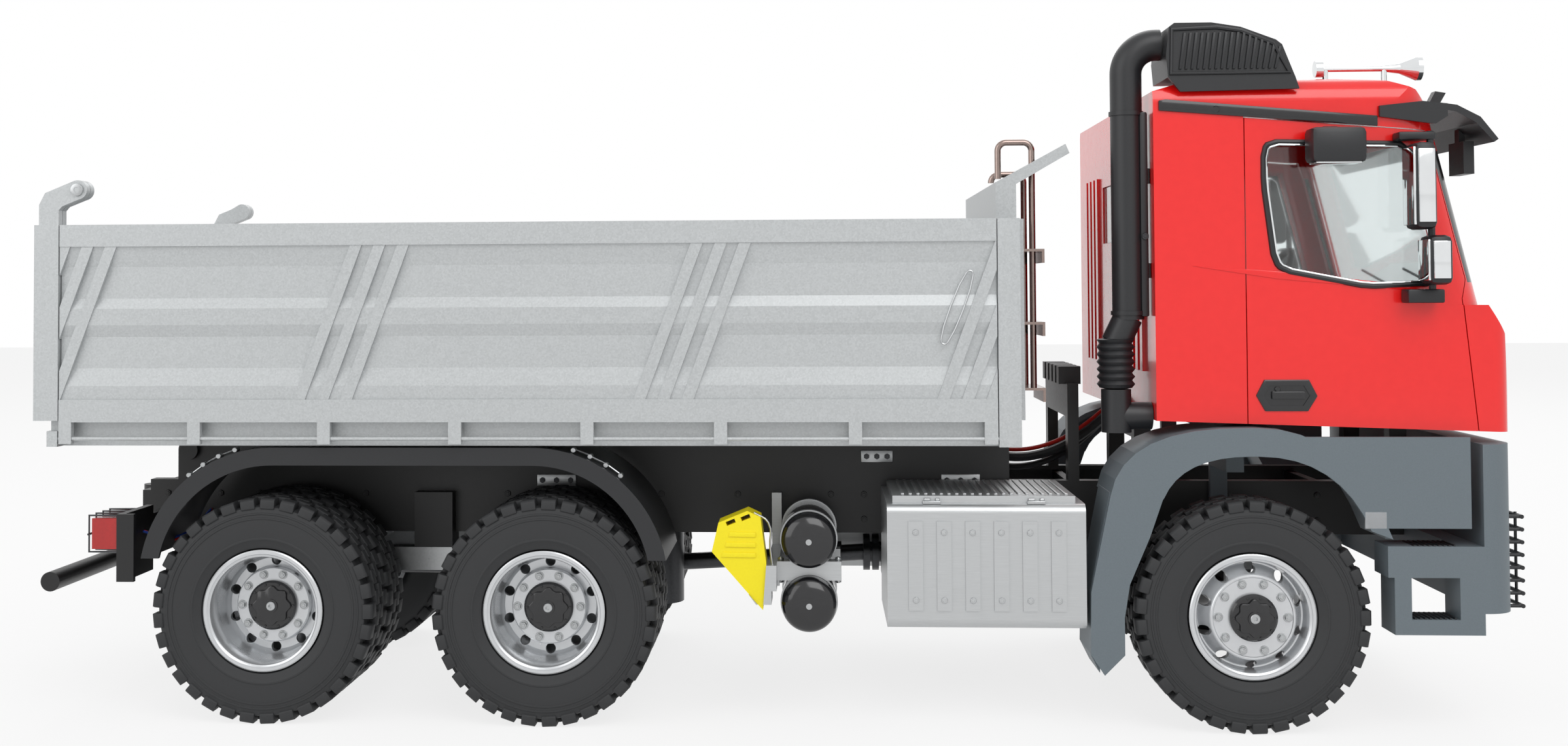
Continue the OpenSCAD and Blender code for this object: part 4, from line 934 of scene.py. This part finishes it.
    def build(self) -> None:
        """Makes every wheel and puts each on its body."""
        right = (0.0, -self.wheel_y, self.axle_z)
        tyre = Tyre().build(right)
        sets = {
            "front": {"rim": self.front_rim(right), "cap": self.hub_cap(right, 7.8, 10.0),
                      "screw": self.screw(right, 12.7), "nuts": self.nuts(right, 11.3, 9.95)},
            "twin": {"rim": self.twin_rim(right), "cap": self.hub_cap(right, 8.5, -2.5),
                     "screw": self.screw(right, 0.3), "nuts": self.nuts(right, 10.9, -2.45)},
        }  # fmt: skip
        looks = {
            "rim": (RIM_LACQUER, "rim_paint"),
            "cap": (BLACK_GLOSS, "dark_gloss"),
            "screw": (STEEL, "bare_steel"),
            "nuts": (STEEL, "bare_steel"),
        }
        half_turn = Matrix.Rotation(math.pi, 4, "Z")
        for axle, x, kind in (
            ("front", self.front_x, "front"),
            ("middle", self.middle_x, "twin"),
            ("rear", self.rear_x, "twin"),
        ):
            for side in SIDES:
                to_place = shifted(x) @ (half_turn if side == "left" else Matrix())
                body = f"wheel_front_{side}" if kind == "front" else f"wheels_{axle}_{side}"
                tyres = [twin(tyre, to_place)]
                node = f"tyre_front_{side}"
                if kind == "twin":
                    tyres.append(twin(tyre, to_place @ shifted(y=self.wheel_y - self.twin_y)))
                    node = f"tyres_{axle}_{side}"
                place(tyres, f"treaded_{node}", body, RUBBER, "tyre", [node])
                rim_node = node.replace("tyre", "rim")
                for part, obj in sets[kind].items():
                    finish, slot = looks[part]
                    replaces = [rim_node] if part == "rim" else []
                    place(twin(obj, to_place), f"wheel_{part}_{axle}_{side}", body, finish, slot, replaces)
        for obj in [tyre, *sets["front"].values(), *sets["twin"].values()]:
            bpy.data.objects.remove(obj, do_unlink=True)


# --- cab --------------------------------------------------------------------------------


@dataclass
class Cab:
    """Trim of the cab: seals, handles, gutter, mirrors, intake slats, wipers and grille bars."""

    axle: float = 159.75
    side: float = 83.0
    window: tuple[tuple[float, float], ...] = (
        (6.65, 192), (6.65, 181), (9.75, 155.7), (12.5, 152.6), (39.4, 147.3), (60.5, 148), (63.2, 150.5),
        (52.5, 193.6), (8.6, 194.6),
    )  # fmt: skip

    def rounded(self, grow: float) -> list[tuple[float, float]]:
        """Returns the window's outline with its corners cut and grown outward.

        Args:
            grow: Millimetres to grow it by.
        """
        points = [Vector((x + self.axle, z)) for x, z in self.window]
        middle = sum(points, Vector((0, 0))) / len(points)
        out = []
        for i, p in enumerate(points):
            for q in (points[i - 1], points[(i + 1) % len(points)]):
                gap = (q - p).length
                spot = p + (q - p) * min(0.35, 2.2 / gap)
                away = (spot - middle).normalized() * grow
                out.append((spot.x + away.x, spot.y + away.y))
        return out

    def door_trim(self, side: str) -> None:
        """Dresses a door with its window seal, handle and crease.

        Args:
            side: "left" or "right".
        """
        s = SIDES[side]
        body = f"door_{side}"
        y = self.side
        seal = wire([(x, y + 0.1, z) for x, z in self.rounded(0.5)], 1.0, closed=True, smooth=False)
        edge = wire([(x, y + 0.7, z) for x, z in self.rounded(-0.6)], 0.35, closed=True, smooth=False)
        cup = [(162.5, 110.8), (165.4, 105.6), (179.4, 105.6), (182.5, 110.6), (179.8, 116), (165.2, 116)]
        plate = prism(cup, "XZ", y - 0.2, y + 0.5, 0.3)
        inner = [
            (165.0, 110.8), (167.0, 107.4), (177.8, 107.4), (180.0, 110.7), (178.0, 114.2), (167.0, 114.2),
        ]  # fmt: skip
        plate = cut(plate, prism(inner, "XZ", y + 0.1, y + 1.5, 0))
        lever = block((167.5, y + 0.1, 109.6), (178.5, y + 1.2, 112.2), 0.4)
        lock = rod((169.5, y + 0.5, 112.9), "Y", 0.9, 1.2)
        fold = [(142, 153.9), (170, 152.0), (221.5, 146.2), (221.5, 144.6), (170, 149.4)]
        crease = prism(fold, "XZ", y - 0.3, y + 0.45, 0.3)
        for parts, name, finish, slot in (
            ([seal], "window_seal", BLACK_NYLON, "black_plastic"),
            ([edge], "window_bright_edge", CHROME, "chrome"),
            ([plate, lever, lock], "door_handle", BLACK_GLOSS, "dark_gloss"),
            ([crease], "door_crease", CAB_PAINT, "cab_red"),
        ):
            if s < 0:
                parts = [self.flipped(p) for p in parts]
            place(parts, f"{name}_{side}", body, finish, slot)

    @staticmethod
    def flipped(obj: Object) -> Object:
        """Turns a left-side piece into the right side's mirror image.

        Args:
            obj: The object.

        Returns:
            The mirror image.
        """
        copy = twin(obj, FLIP)
        bpy.data.objects.remove(obj, do_unlink=True)
        return copy

    def mirror_set(self, side: str) -> None:
        """Makes the rounded mirror housings, their stay and the silvered glass.

        Args:
            side: "left" or "right".
        """
        a, y = self.axle, self.side
        stay = wire([(a + 58.6, y + 6, 197.6), (a + 58.6, y + 6, 144.2)], 1.2, smooth=False)
        housings = [
            block((a + 50.4, y + 3.5, 165.2), (a + 57.5, y + 16.8, 193.3), 2.2),
            block((a + 54.8, y + 3.5, 147.2), (a + 62.5, y + 15.8, 163.3), 2.2),
            block((a + 18.9, y + 2.1, 187.2), (a + 36.7, y + 12.8, 198.9), 1.8),
            block((a + 48.2, y + 0.3, 194.7), (a + 60, y + 7.5, 197.4), 0.6),
            block((a + 50.2, y + 0.3, 141.3), (a + 62, y + 8, 145.8), 0.6),
            block((a + 25, y + 0.3, 196), (a + 30, y + 3, 199.8), 0.4),
            stay,
        ]
        faces = [
            block((a + 49.9, y + 4.6, 166.6), (a + 50.9, y + 15.8, 191.9), 0.3),
            block((a + 54.5, y + 4.6, 148.6), (a + 55.4, y + 14.8, 161.9), 0.3),
            block((a + 51.2, y + 16.4, 167.4), (a + 56.4, y + 17.3, 191.2), 0.5),
            block((a + 55.9, y + 15.4, 149.2), (a + 61.2, y + 16.3, 161.4), 0.5),
            block((a + 20.4, y + 3.2, 187.05), (a + 35, y + 11.6, 187.6), 0.2),
        ]
        if SIDES[side] < 0:
            housings = [self.flipped(p) for p in housings]
            faces = [self.flipped(p) for p in faces]
        body = f"door_{side}"
        place(housings, f"mirror_housings_{side}", body, BLACK_NYLON, "black_plastic", [f"mirrors_{side}"])
        place(faces, f"mirror_glass_{side}", body, CHROME, "chrome")

    def gutter(self) -> None:
        """Makes the black rails along the roof's edges."""
        rails = []
        outline = [(131.7, 205.8), (131.7, 209.2), (134, 209.6), (203.3, 203.4), (203.3, 199.9)]
        for s in (1, -1):
            rail = prism(outline, "XZ", self.side - 0.1, self.side + 0.9, 0.4)
            knob = rod((150.5, self.side + 0.7, 206.0), "Y", 1.2, 0.9)
            rails += [rail, knob] if s > 0 else [self.flipped(rail), self.flipped(knob)]
        place(rails, "roof_gutters", "chassis", BLACK_GLOSS, "dark_gloss")

    def intake_slats(self) -> None:
        """Makes the slanted slats in the intake's outer face, inside a raised frame."""
        y = -self.side - 1.8
        slats = []
        for i in range(17):
            x = self.axle - 21.5 + i * 1.95
            low, high = 219.4, 231.6 if x < self.axle - 2 else 231.6 - (x - self.axle + 2) * 0.42
            slat = [(x, low), (x + 0.95, low), (x + 2.55, high), (x + 1.6, high)]
            slats.append(prism(slat, "XZ", y - 0.75, y + 0.1, 0.15))
        a = self.axle
        frame = [
            (a - 24, 218), (a - 23.6, 232.8), (a - 9, 233.4),
            (a - 1, 232.2), (a + 9.6, 227.8), (a + 14.6, 218),
        ]  # fmt: skip
        slats.append(wire([(x, y - 0.1, z) for x, z in frame], 0.8, closed=True, smooth=False))
        place(slats, "intake_slats", "chassis", BLACK_NYLON, "black_plastic")

    def snorkel_trim(self) -> None:
        """Adds the snorkel's flat flange with its screw and its bands."""
        x, y = self.axle - 37.2, -74.0
        flange = block((x + 3.8, y - 4.2, 137), (x + 6.4, y + 4.2, 206), 0.6)
        bands = [
            lathe([(5.2, z), (5.8, z), (5.8, z + 1.4), (5.2, z + 1.4)], (x, y, 0), "Z", 40)
            for z in (137.5, 205)
        ]
        screw = hex_bolt((x + 5.2, y - 4.2, 164), "Y", -1, 1.3, 0.8)
        place([flange, *bands], "snorkel_flange", "chassis", BLACK_NYLON, "black_plastic")
        place([screw], "snorkel_screw", "chassis", DARK_STEEL, "bare_steel")

    def front_face(self) -> None:
        """Makes the grille's bars and the wipers at the front."""
        a = self.axle
        bars = []
        for i in range(5):
            z = 106.5 + i * 4.8
            x = a + 87.35 - max(0, z - 104) * 0.035
            bars.append(block((x, -50, z), (x + 1.1, 50, z + 1.8), 0.4))
        place(bars, "grille_bars", "chassis", BLACK_GLOSS, "dark_gloss")
        foot, head = Vector((a + 78.6, 0, 140.5)), Vector((a + 63, 0, 205.5))
        up = (head - foot).normalized()
        out = Vector((up.z, 0, -up.x))
        arms = []
        for y in (-38, 12):
            start = foot + Vector((0, y, 0)) + up * 3 + out * 1.3
            tip = foot + Vector((0, y + 26, 0)) + up * 8 + out * 1.3
            blade = [tip + Vector((0, -15, 0)) + out * 0.4, tip + Vector((0, 8, 0)) + up * 5 + out * 0.4]
            arms.append(wire([tuple(start), tuple(tip)], 0.6, smooth=False))
            arms.append(wire([tuple(p) for p in blade], 0.5, smooth=False))
            arms.append(rod(tuple(start), "X", 1.4, 1.6))
        place(arms, "wipers", "chassis", BLACK_NYLON, "black_plastic")

    def build(self) -> None:
        """Makes all the cab's trim."""
        for side in SIDES:
            self.door_trim(side)
            self.mirror_set(side)
        self.gutter()
        self.intake_slats()
        self.snorkel_trim()
        self.front_face()


# --- chassis equipment ----------------------------------------------------------------


@dataclass
class Equipment:
    """Boxes, tanks, chocks, steps, lamps and fasteners on the chassis."""

    side: float = 87.6
    rail: float = 31.0
    box_back: float = 40.15
    box_front: float = 105.75
    box_top: float = 75.1
    box_bottom: float = 33.9
    tank_x: float = 14.05
    tank_radius: float = 9.3
    front_x: float = 159.75

    def toolbox_trim(self) -> None:
        """Adds the rib bolts, the lid's raised bars and its latches."""
        pitch = (self.box_front - self.box_back - 9) / 6
        y = -self.side
        bolts = [
            hex_bolt((self.box_back + 9.4 + i * pitch, y - 0.02, z), "Y", -1, 1.1, 0.5)
            for i in range(6)
            for z in (self.box_bottom + 9.5, self.box_top - 9.3)
        ]
        place(bolts, "toolbox_bolts", "chassis", ALUMINIUM, "aluminium")
        top = self.box_top + 2.4
        starts = [self.box_back + 5 + i * 2.6 for i in range(22)]
        bars = [block((x, -80, top - 0.1), (x + 1.1, -36, top + 0.45), 0.2) for x in starts]
        place(bars, "toolbox_lid_bars", "chassis", ALUMINIUM, "aluminium")
        latches = []
        for x in (self.box_back + 15, self.box_front - 16):
            plate = block((x - 3, -85.6, self.box_top - 0.2), (x + 3, -82.8, self.box_top + 0.9), 0.25)
            latches.append(plate)
            latches.append(rod((x - 1.5, -84.2, self.box_top + 1.2), "X", 0.6, 2.2, 12))
            latches.append(rod((x + 2, -84.2, self.box_top + 1.2), "X", 0.6, 1.4, 12))
        place(latches, "toolbox_latches", "chassis", STEEL, "bare_steel")

    def air_tanks(self) -> None:
        """Spins the two domed tanks and adds their straps and end screws."""
        tanks, steel = [], []
        for z in (40.6, 62.0):
            centre = (self.tank_x, 0.0, z)
            r = self.tank_radius
            tanks.append(
                lathe(
                    [(0, -84.6), (3, -84.5), (6, -84.1), (8, -83.3), (8.9, -82.3), (r, -80.8), (r, -39.5),
                     (8.6, -37.4), (6.4, -36.3), (0, -36)],
                    centre,
                    steps=64,
                )  # fmt: skip
            )
            for y in (-74.6, -43.6):
                strap = [(r, y - 1.3), (r + 0.45, y - 1.3), (r + 0.45, y + 1.3), (r, y + 1.3)]
                steel.append(lathe(strap, centre, steps=64))
            steel.append(lathe([(0, -85.2), (1.0, -85.2), (1.1, -84.4), (0, -84.4)], centre, steps=20))
        place(tanks, "domed_air_tanks", "chassis", BLACK_GLOSS, "dark_gloss", ["air_tanks"])
        for x in (self.tank_x - 9.6, self.tank_x + 9.9):
            steel.append(hex_bolt((x, -74.6, 54.5), "Z", 1, 1.2, 1.0))
            steel.append(hex_bolt((x, -74.6, 48.1), "Z", -1, 1.2, 1.0))
        place(steel, "tank_straps", "chassis", STEEL, "bare_steel")

    def chock_trim(self) -> None:
        """Adds the chock's raised ribs and the tray's wire clip."""
        y = -self.side + 1.5
        a = self.front_x
        ribs = []
        for i in range(3):
            back, up = a - 175 + i * 1.2, i * 3.4
            rib = [(back, 57.2 + up), (a - 163.4, 57.0 + up), (a - 163.4, 58.6 + up), (back + 0.4, 58.8 + up)]
            ribs.append(prism(rib, "XZ", y - 0.5, y + 0.1, 0.2))
        place(ribs, "chock_ribs", "chassis", YELLOW_ABS, "chock_yellow")
        bend = ((164, 3, 71.6), (159.2, 2, 68.5), (158.6, 2, 60), (157.9, 2, 54))
        clip = wire([(a - back, y + near, z) for back, near, z in bend], 0.4)
        place([clip], "chock_clip", "chassis", STEEL, "bare_steel")

    def fasteners(self) -> None:
        """Adds the frame's bolt heads, and the bright plates with their screws."""
        heads, plates, screws = [], [], []
        for s in (1, -1):
            y = s * self.rail
            for x in (-225, -205, -190, -150, -97, -40, -12, 22, 34, 128, 196, 214):
                for z in (63, 72):
                    heads.append(hex_bolt((x, y, z), "Y", s, 1.2, 0.6))
            for x0, x1, z in ((-86, -71.5, 77), (33, 44.5, 85.8), (62, 76, 77.2)):
                near, far = sorted((y, y + s * 0.9))
                plates.append(block((x0, near, z - 2.15), (x1, far, z + 2.15), 0.3))
                for i in range(3):
                    x = x0 + 2 + i * (x1 - x0 - 4) / 2
                    screws.append(hex_bolt((x, y + s * 0.9, z), "Y", s, 1.1, 0.6))
        place(heads, "frame_bolts", "chassis", FRAME_PAINT, "chassis_paint")
        place(plates, "frame_plates", "chassis", ALUMINIUM, "aluminium")
        place(screws, "plate_screws", "chassis", DARK_STEEL, "bare_steel")

    def spring_bolts(self) -> None:
        """Adds the U-bolts that clamp each spring pack."""
        bolts = []
        for s in (1, -1):
            for x, z, y0, y1 in ((159.75, 45.3, 25.3, 30.7), (-75.25, 44.3, 28, 35), (-171.75, 44.3, 28, 35)):
                height = 7 if x > 0 else 3.5
                for dx in (-3.6, 3.6):
                    near, far, top = s * (y0 - 0.6), s * (y1 + 0.6), z + height
                    bend = [(near, z - 3), (near, top), (far, top), (far, z - 3)]
                    bolts.append(wire([(x + dx, a, b) for a, b in bend], 0.55, smooth=False))
        place(bolts, "spring_bolts", "chassis", STEEL, "bare_steel")

    def mudguard_chains(self) -> None:
        """Adds the linked tie-down fittings on each mudguard's end slopes."""
        links = []
        for s in (1, -1):
            y = s * (self.side - 4.5)
            for centre_x, sign in ((-79.0, 1), (-168.5, -1)):
                last = None
                for i in range(6):
                    angle = math.radians(88 - i * 7.5)
                    x = centre_x + sign * 46.6 * math.cos(angle)
                    z = 47.7 + 46.6 * math.sin(angle)
                    if z > 92.8:
                        continue
                    links.append(rod((x, y, z + 0.4), "Y", 0.9, 3.4, 12))
                    if last:
                        links.append(wire([last, (x, y - s * 1.2, z + 0.5)], 0.35, smooth=False))
                    last = (x, y + s * 1.2 * (1 if i % 2 else -1), z + 0.5)
        place(links, "mudguard_fittings", "chassis", STEEL, "bare_steel")

    def lamps(self) -> None:
        """Adds the rear lamps' guards and wires, the side markers and the head lamps' bowls."""
        guards, markers, bowls = [], [], []
        x = -222.25
        for s in (1, -1):
            for y in (68, 74, 80, 86):
                points = [(x, s * y, 58), (x - 10.2, s * y, 58), (x - 10.2, s * y, 70.4), (x, s * y, 70.4)]
                guards.append(wire(points, 0.4, smooth=False))
            guards.append(wire([(x - 10.2, s * 66, 64), (x - 10.2, s * 86.8, 64)], 0.4, smooth=False))
            markers.append(block((196, s * 87.3 - 0.35, 67.5), (203, s * 87.3 + 0.35, 73), 0.3))
            for y in (61, 70.5):
                bowls.append(lathe([(3.2, 0), (3.8, 0), (2.2, -3), (1.6, -3)], (244.2, s * y, 56), "X", 32))
        place(guards, "rear_lamp_guards", "chassis", DARK_STEEL, "bare_steel")
        place(markers, "side_markers", "chassis", CLEAR_LENS, "lens_clear")
        place(bowls, "lamp_bowls", "chassis", CHROME, "chrome")
        for i, (finish, name) in enumerate(((SHEATH_RED, "red"), (SHEATH_BLUE, "blue"))):
            wires = []
            for s in (1, -1):
                dy = 0.9 * i
                route = ((3, 70, 63), (9, 64, 59 + i), (13, 50, 61), (14, 31.6, 66))
                wires.append(wire([(x + a, s * (b + dy), c) for a, b, c in route], 0.45))
            place(wires, f"rear_lamp_wires_{name}", "chassis", finish, "cable_black")

    def step_treads(self) -> None:
        """Adds the raised bars on each entry step."""
        bars = []
        for s in (1, -1):
            for i in range(9):
                x = 211.6 + i * 1.6
                near, far = sorted((s * 75, s * 86.8))
                for low, high in ((37.9, 38.45), (61.7, 62.2)):
                    bars.append(block((x, near, low), (x + 0.7, far, high), 0.15))
        place(bars, "step_treads", "chassis", BLACK_NYLON, "black_plastic")

    def fuel_tank_trim(self) -> None:
        """Adds the fuel tank's straps and its filler cap's grip."""
        back, front = self.box_front - 84, self.box_front
        straps = []
        for t in (0.22, 0.78):
            x = back + t * (front - back)
            straps.append(block((x - 2.2, 86.9, 44.5), (x + 2.2, 87.5, 66.5), 0.2))
            straps.append(block((x - 2.2, 36, 75.0), (x + 2.2, 78, 75.6), 0.2))
        place(straps, "fuel_tank_straps", "chassis", STEEL, "bare_steel")
        knob = [(0, 0), (6.6, 0), (6.9, 0.6), (6.9, 2.4), (6.3, 3), (0, 3)]
        cap = lathe(knob, (back + 14, 71.6, 78.2), "Z", 40)
        place([cap], "filler_cap", "chassis", BLACK_NYLON, "black_plastic")

    def build(self) -> None:
        """Makes all the equipment."""
        self.toolbox_trim()
        self.air_tanks()
        self.chock_trim()
        self.fasteners()
        self.spring_bolts()
        self.mudguard_chains()
        self.lamps()
        self.step_treads()
        self.fuel_tank_trim()


# --- load bed -----------------------------------------------------------------------------


@dataclass
class LoadBed:
    """Fittings of the load bed: rub rails' slots and pin screws."""

    side: float = 91.0
    pin: tuple[float, float] = (-235.15, 182)
    slot_low: tuple[float, float] = (59.5, 129.5)
    slot_high: tuple[float, float] = (68.0, 151.5)

    def slot_rims(self) -> None:
        """Adds the long slot's rolled rim on each gate's front slats."""
        low, high = Vector(self.slot_low), Vector(self.slot_high)
        along = (high - low).normalized()
        across = Vector((along.y, -along.x)) * 1.2
        for side, s in SIDES.items():
            y = s * (self.side - 0.35)
            end = along * 1.2
            points = [low + across, high + across, high + end, high - across, low - across, low - end]
            rim = wire([(p.x, y, p.y) for p in points], 0.3, closed=True)
            place([rim], f"gate_slot_{side}", f"side_gate_{side}", STEEL, "bare_steel")

    def pin_screws(self) -> None:
        """Adds the socket screws in the tailgate's pins."""
        parts = []
        for s in (1, -1):
            ring = [(0.7, -0.6), (2.1, -0.6), (2.1, 0.15), (1.8, 0.25), (0.9, 0.25), (0.7, -0.2)]
            turned_ring = [(r, s * (self.side + 0.75 + d)) for r, d in ring]
            parts.append(lathe(turned_ring, (self.pin[0], 0, self.pin[1]), steps=24))
        place(parts, "tailgate_pin_screws", "bed", STEEL, "bare_steel")

    def build(self) -> None:
        """Makes the bed's fittings."""
        self.slot_rims()
        self.pin_screws()


@dataclass
class Cables:
    """The bundle from the subframe up to the cab's rear wall."""

    start_x: float = 87.1
    end_x: float = 128.95
    routes: tuple[tuple[float, ...], ...] = (
        (-10, -20.5, 84, 106, 1.7),
        (-6, -16.5, 80, 105.5, 1.2),
        (-2, -13, 86, 107, 0.8),
        (2, -10, 82.5, 106, 0.8),
    )
    finishes: tuple[Finish, ...] = (SHEATH_BLACK, SHEATH_BLACK, SHEATH_RED, SHEATH_YELLOW)
    names: tuple[str, ...] = ("thick_black", "thin_black", "red", "yellow")

    def build(self) -> None:
        """Makes each cable on its route."""
        for route, finish, name in zip(self.routes, self.finishes, self.names):
            y0, y1, z0, z1, radius = route
            points = []
            for i in range(17):
                t = i / 16
                x = self.start_x + t * (self.end_x - self.start_x)
                points.append((x, y0 + t * (y1 - y0), z0 + (z1 - z0) * t * t - 5 * t * (1 - t)))
            tube = place(
                [wire(points, radius)], f"cable_{name}", "chassis", finish, "cable_black", ["cab_cables"]
            )


# --- studio -------------------------------------------------------------------------------


@dataclass
class Studio:
    """Pale floor, plain soft light and the camera."""

    eye: tuple[float, float, float] = (17.34, -688.18, 146.88)
    yaw: float = -3.606
    pitch: float = 1.712
    roll: float = -0.283
    focal_px: float = 2734.6
    centre_px: tuple[float, float] = (1075.8, 360.5)
    frame_px: tuple[int, int] = (2397, 1140)

    def camera(self) -> None:
        """Sets the camera at its measured place, turn and lens."""
        width, height = self.frame_px
        data = bpy.data.cameras.new("camera")
        data.sensor_width = 36
        data.lens = 36 * self.focal_px / width
        data.shift_x = (width / 2 - self.centre_px[0]) / width
        data.shift_y = (self.centre_px[1] - height / 2) / width
        data.clip_start = 0.01
        yaw, pitch, roll = (math.radians(v) for v in (self.yaw, self.pitch, self.roll))
        ahead = Vector((math.sin(yaw) * math.cos(pitch), math.cos(yaw) * math.cos(pitch), math.sin(pitch)))
        right = Vector((math.cos(yaw), -math.sin(yaw), 0))
        up = right.cross(ahead)
        x_axis = right * math.cos(roll) + up * math.sin(roll)
        y_axis = up * math.cos(roll) - right * math.sin(roll)
        turn = Matrix((x_axis, y_axis, -ahead)).transposed().to_4x4()
        camera = bpy.data.objects.new("camera", data)
        camera.matrix_world = Matrix.Translation(Vector(self.eye) * MM) @ turn
        bpy.context.collection.objects.link(camera)
        bpy.context.scene.camera = camera

    @staticmethod
    def seen_rays(tree: bpy.types.NodeTree) -> bpy.types.NodeSocket:
        """Adds a test for rays that show a surface: straight, mirrored or through glass.

        Args:
            tree: The node tree that takes the test.

        Returns:
            A socket that is 1 for such rays.
        """
        path = add_node(tree, "ShaderNodeLightPath")
        rays = path.outputs["Is Camera Ray"]
        for name in ("Is Glossy Ray", "Is Transmission Ray"):
            rays = add_node(
                tree, "ShaderNodeMath", {"operation": "MAXIMUM"}, {0: rays, 1: path.outputs[name]}
            ).outputs[0]
        return rays

    def floor(self) -> None:
        """Lays a pale floor that reads white to the camera and keeps the truck's shadow."""
        deselect()
        bpy.ops.mesh.primitive_plane_add(size=8)
        floor = bpy.context.object
        floor.name = "floor"
        material = bpy.data.materials.new("pale floor board")
        material.use_nodes = True
        shader = material.node_tree.nodes["Principled BSDF"]
        shader.inputs["Base Color"].default_value = linear("f2f2f2")
        shader.inputs["Roughness"].default_value = 0.9
        tree = material.node_tree
        white = add_node(tree, "ShaderNodeEmission", {"Color": linear("ffffff"), "Strength": 1.0})
        rays = self.seen_rays(tree)
        share = add_node(tree, "ShaderNodeMath", {"operation": "MULTIPLY", 1: 0.8}, {0: rays})
        mix = add_node(
            tree,
            "ShaderNodeMixShader",
            links={0: share.outputs[0], 1: shader.outputs[0], 2: white.outputs[0]},
        )
        tree.links.new(mix.outputs[0], tree.nodes["Material Output"].inputs["Surface"])
        floor.data.materials.append(material)

    def world(self) -> None:
        """Gives an even grey light and a white background."""
        world = bpy.data.worlds.new("studio")
        bpy.context.scene.world = world
        world.use_nodes = True
        tree = world.node_tree
        ambient = tree.nodes["Background"]
        ambient.inputs["Color"].default_value = linear("ffffff")
        ambient.inputs["Strength"].default_value = 0.55
        white = add_node(tree, "ShaderNodeBackground", {"Color": linear("ffffff"), "Strength": 1.0})
        rays = self.seen_rays(tree)
        mix = add_node(
            tree, "ShaderNodeMixShader", links={0: rays, 1: ambient.outputs[0], 2: white.outputs[0]}
        )
        tree.links.new(mix.outputs[0], tree.nodes["World Output"].inputs["Surface"])

    def lamps(self) -> None:
        """Hangs three soft lamps round the truck."""
        for name, eye, size, power in (
            ("key", (0.5, -1.3, 1.3), 1.2, 13),
            ("fill", (-1.2, -1.0, 0.7), 1.2, 6),
            ("back", (0.2, 1.3, 1.4), 1.4, 9),
        ):
            data = bpy.data.lights.new(name, "AREA")
            data.size = size
            data.energy = power
            lamp = bpy.data.objects.new(name, data)
            lamp.location = eye
            lamp.rotation_euler = (Vector((0, 0, 0.1)) - Vector(eye)).to_track_quat("-Z", "Y").to_euler()
            bpy.context.collection.objects.link(lamp)

    def build(self) -> None:
        """Sets up the whole studio."""
        bpy.context.scene.view_settings.view_transform = "Standard"
        self.floor()
        self.world()
        self.lamps()


def dress_nodes(frame: dict) -> None:
    """Gives every CAD node its finish.
    """
    for name, obj in frame["nodes"].items():
        finish = NODE_FINISH[name].material()
        for i in range(max(1, len(obj.material_slots))):
            if len(obj.material_slots) <= i:
                obj.data.materials.append(finish)
            else:
                obj.material_slots[i].material = finish
    LOG.info("dressed %d nodes", len(frame["nodes"]))


def main() -> None:
    """Builds the truck's looks in order."""
    logging.basicConfig(level=logging.INFO, format="%(name)s: %(message)s")
    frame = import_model()
    studio = Studio()
    studio.camera()
    Cables().build()
    dress_nodes(frame)
    Wheels().build()
    Cab().build()
    Equipment().build()
    LoadBed().build()
    studio.build()


if __name__ == "__main__":
    main()
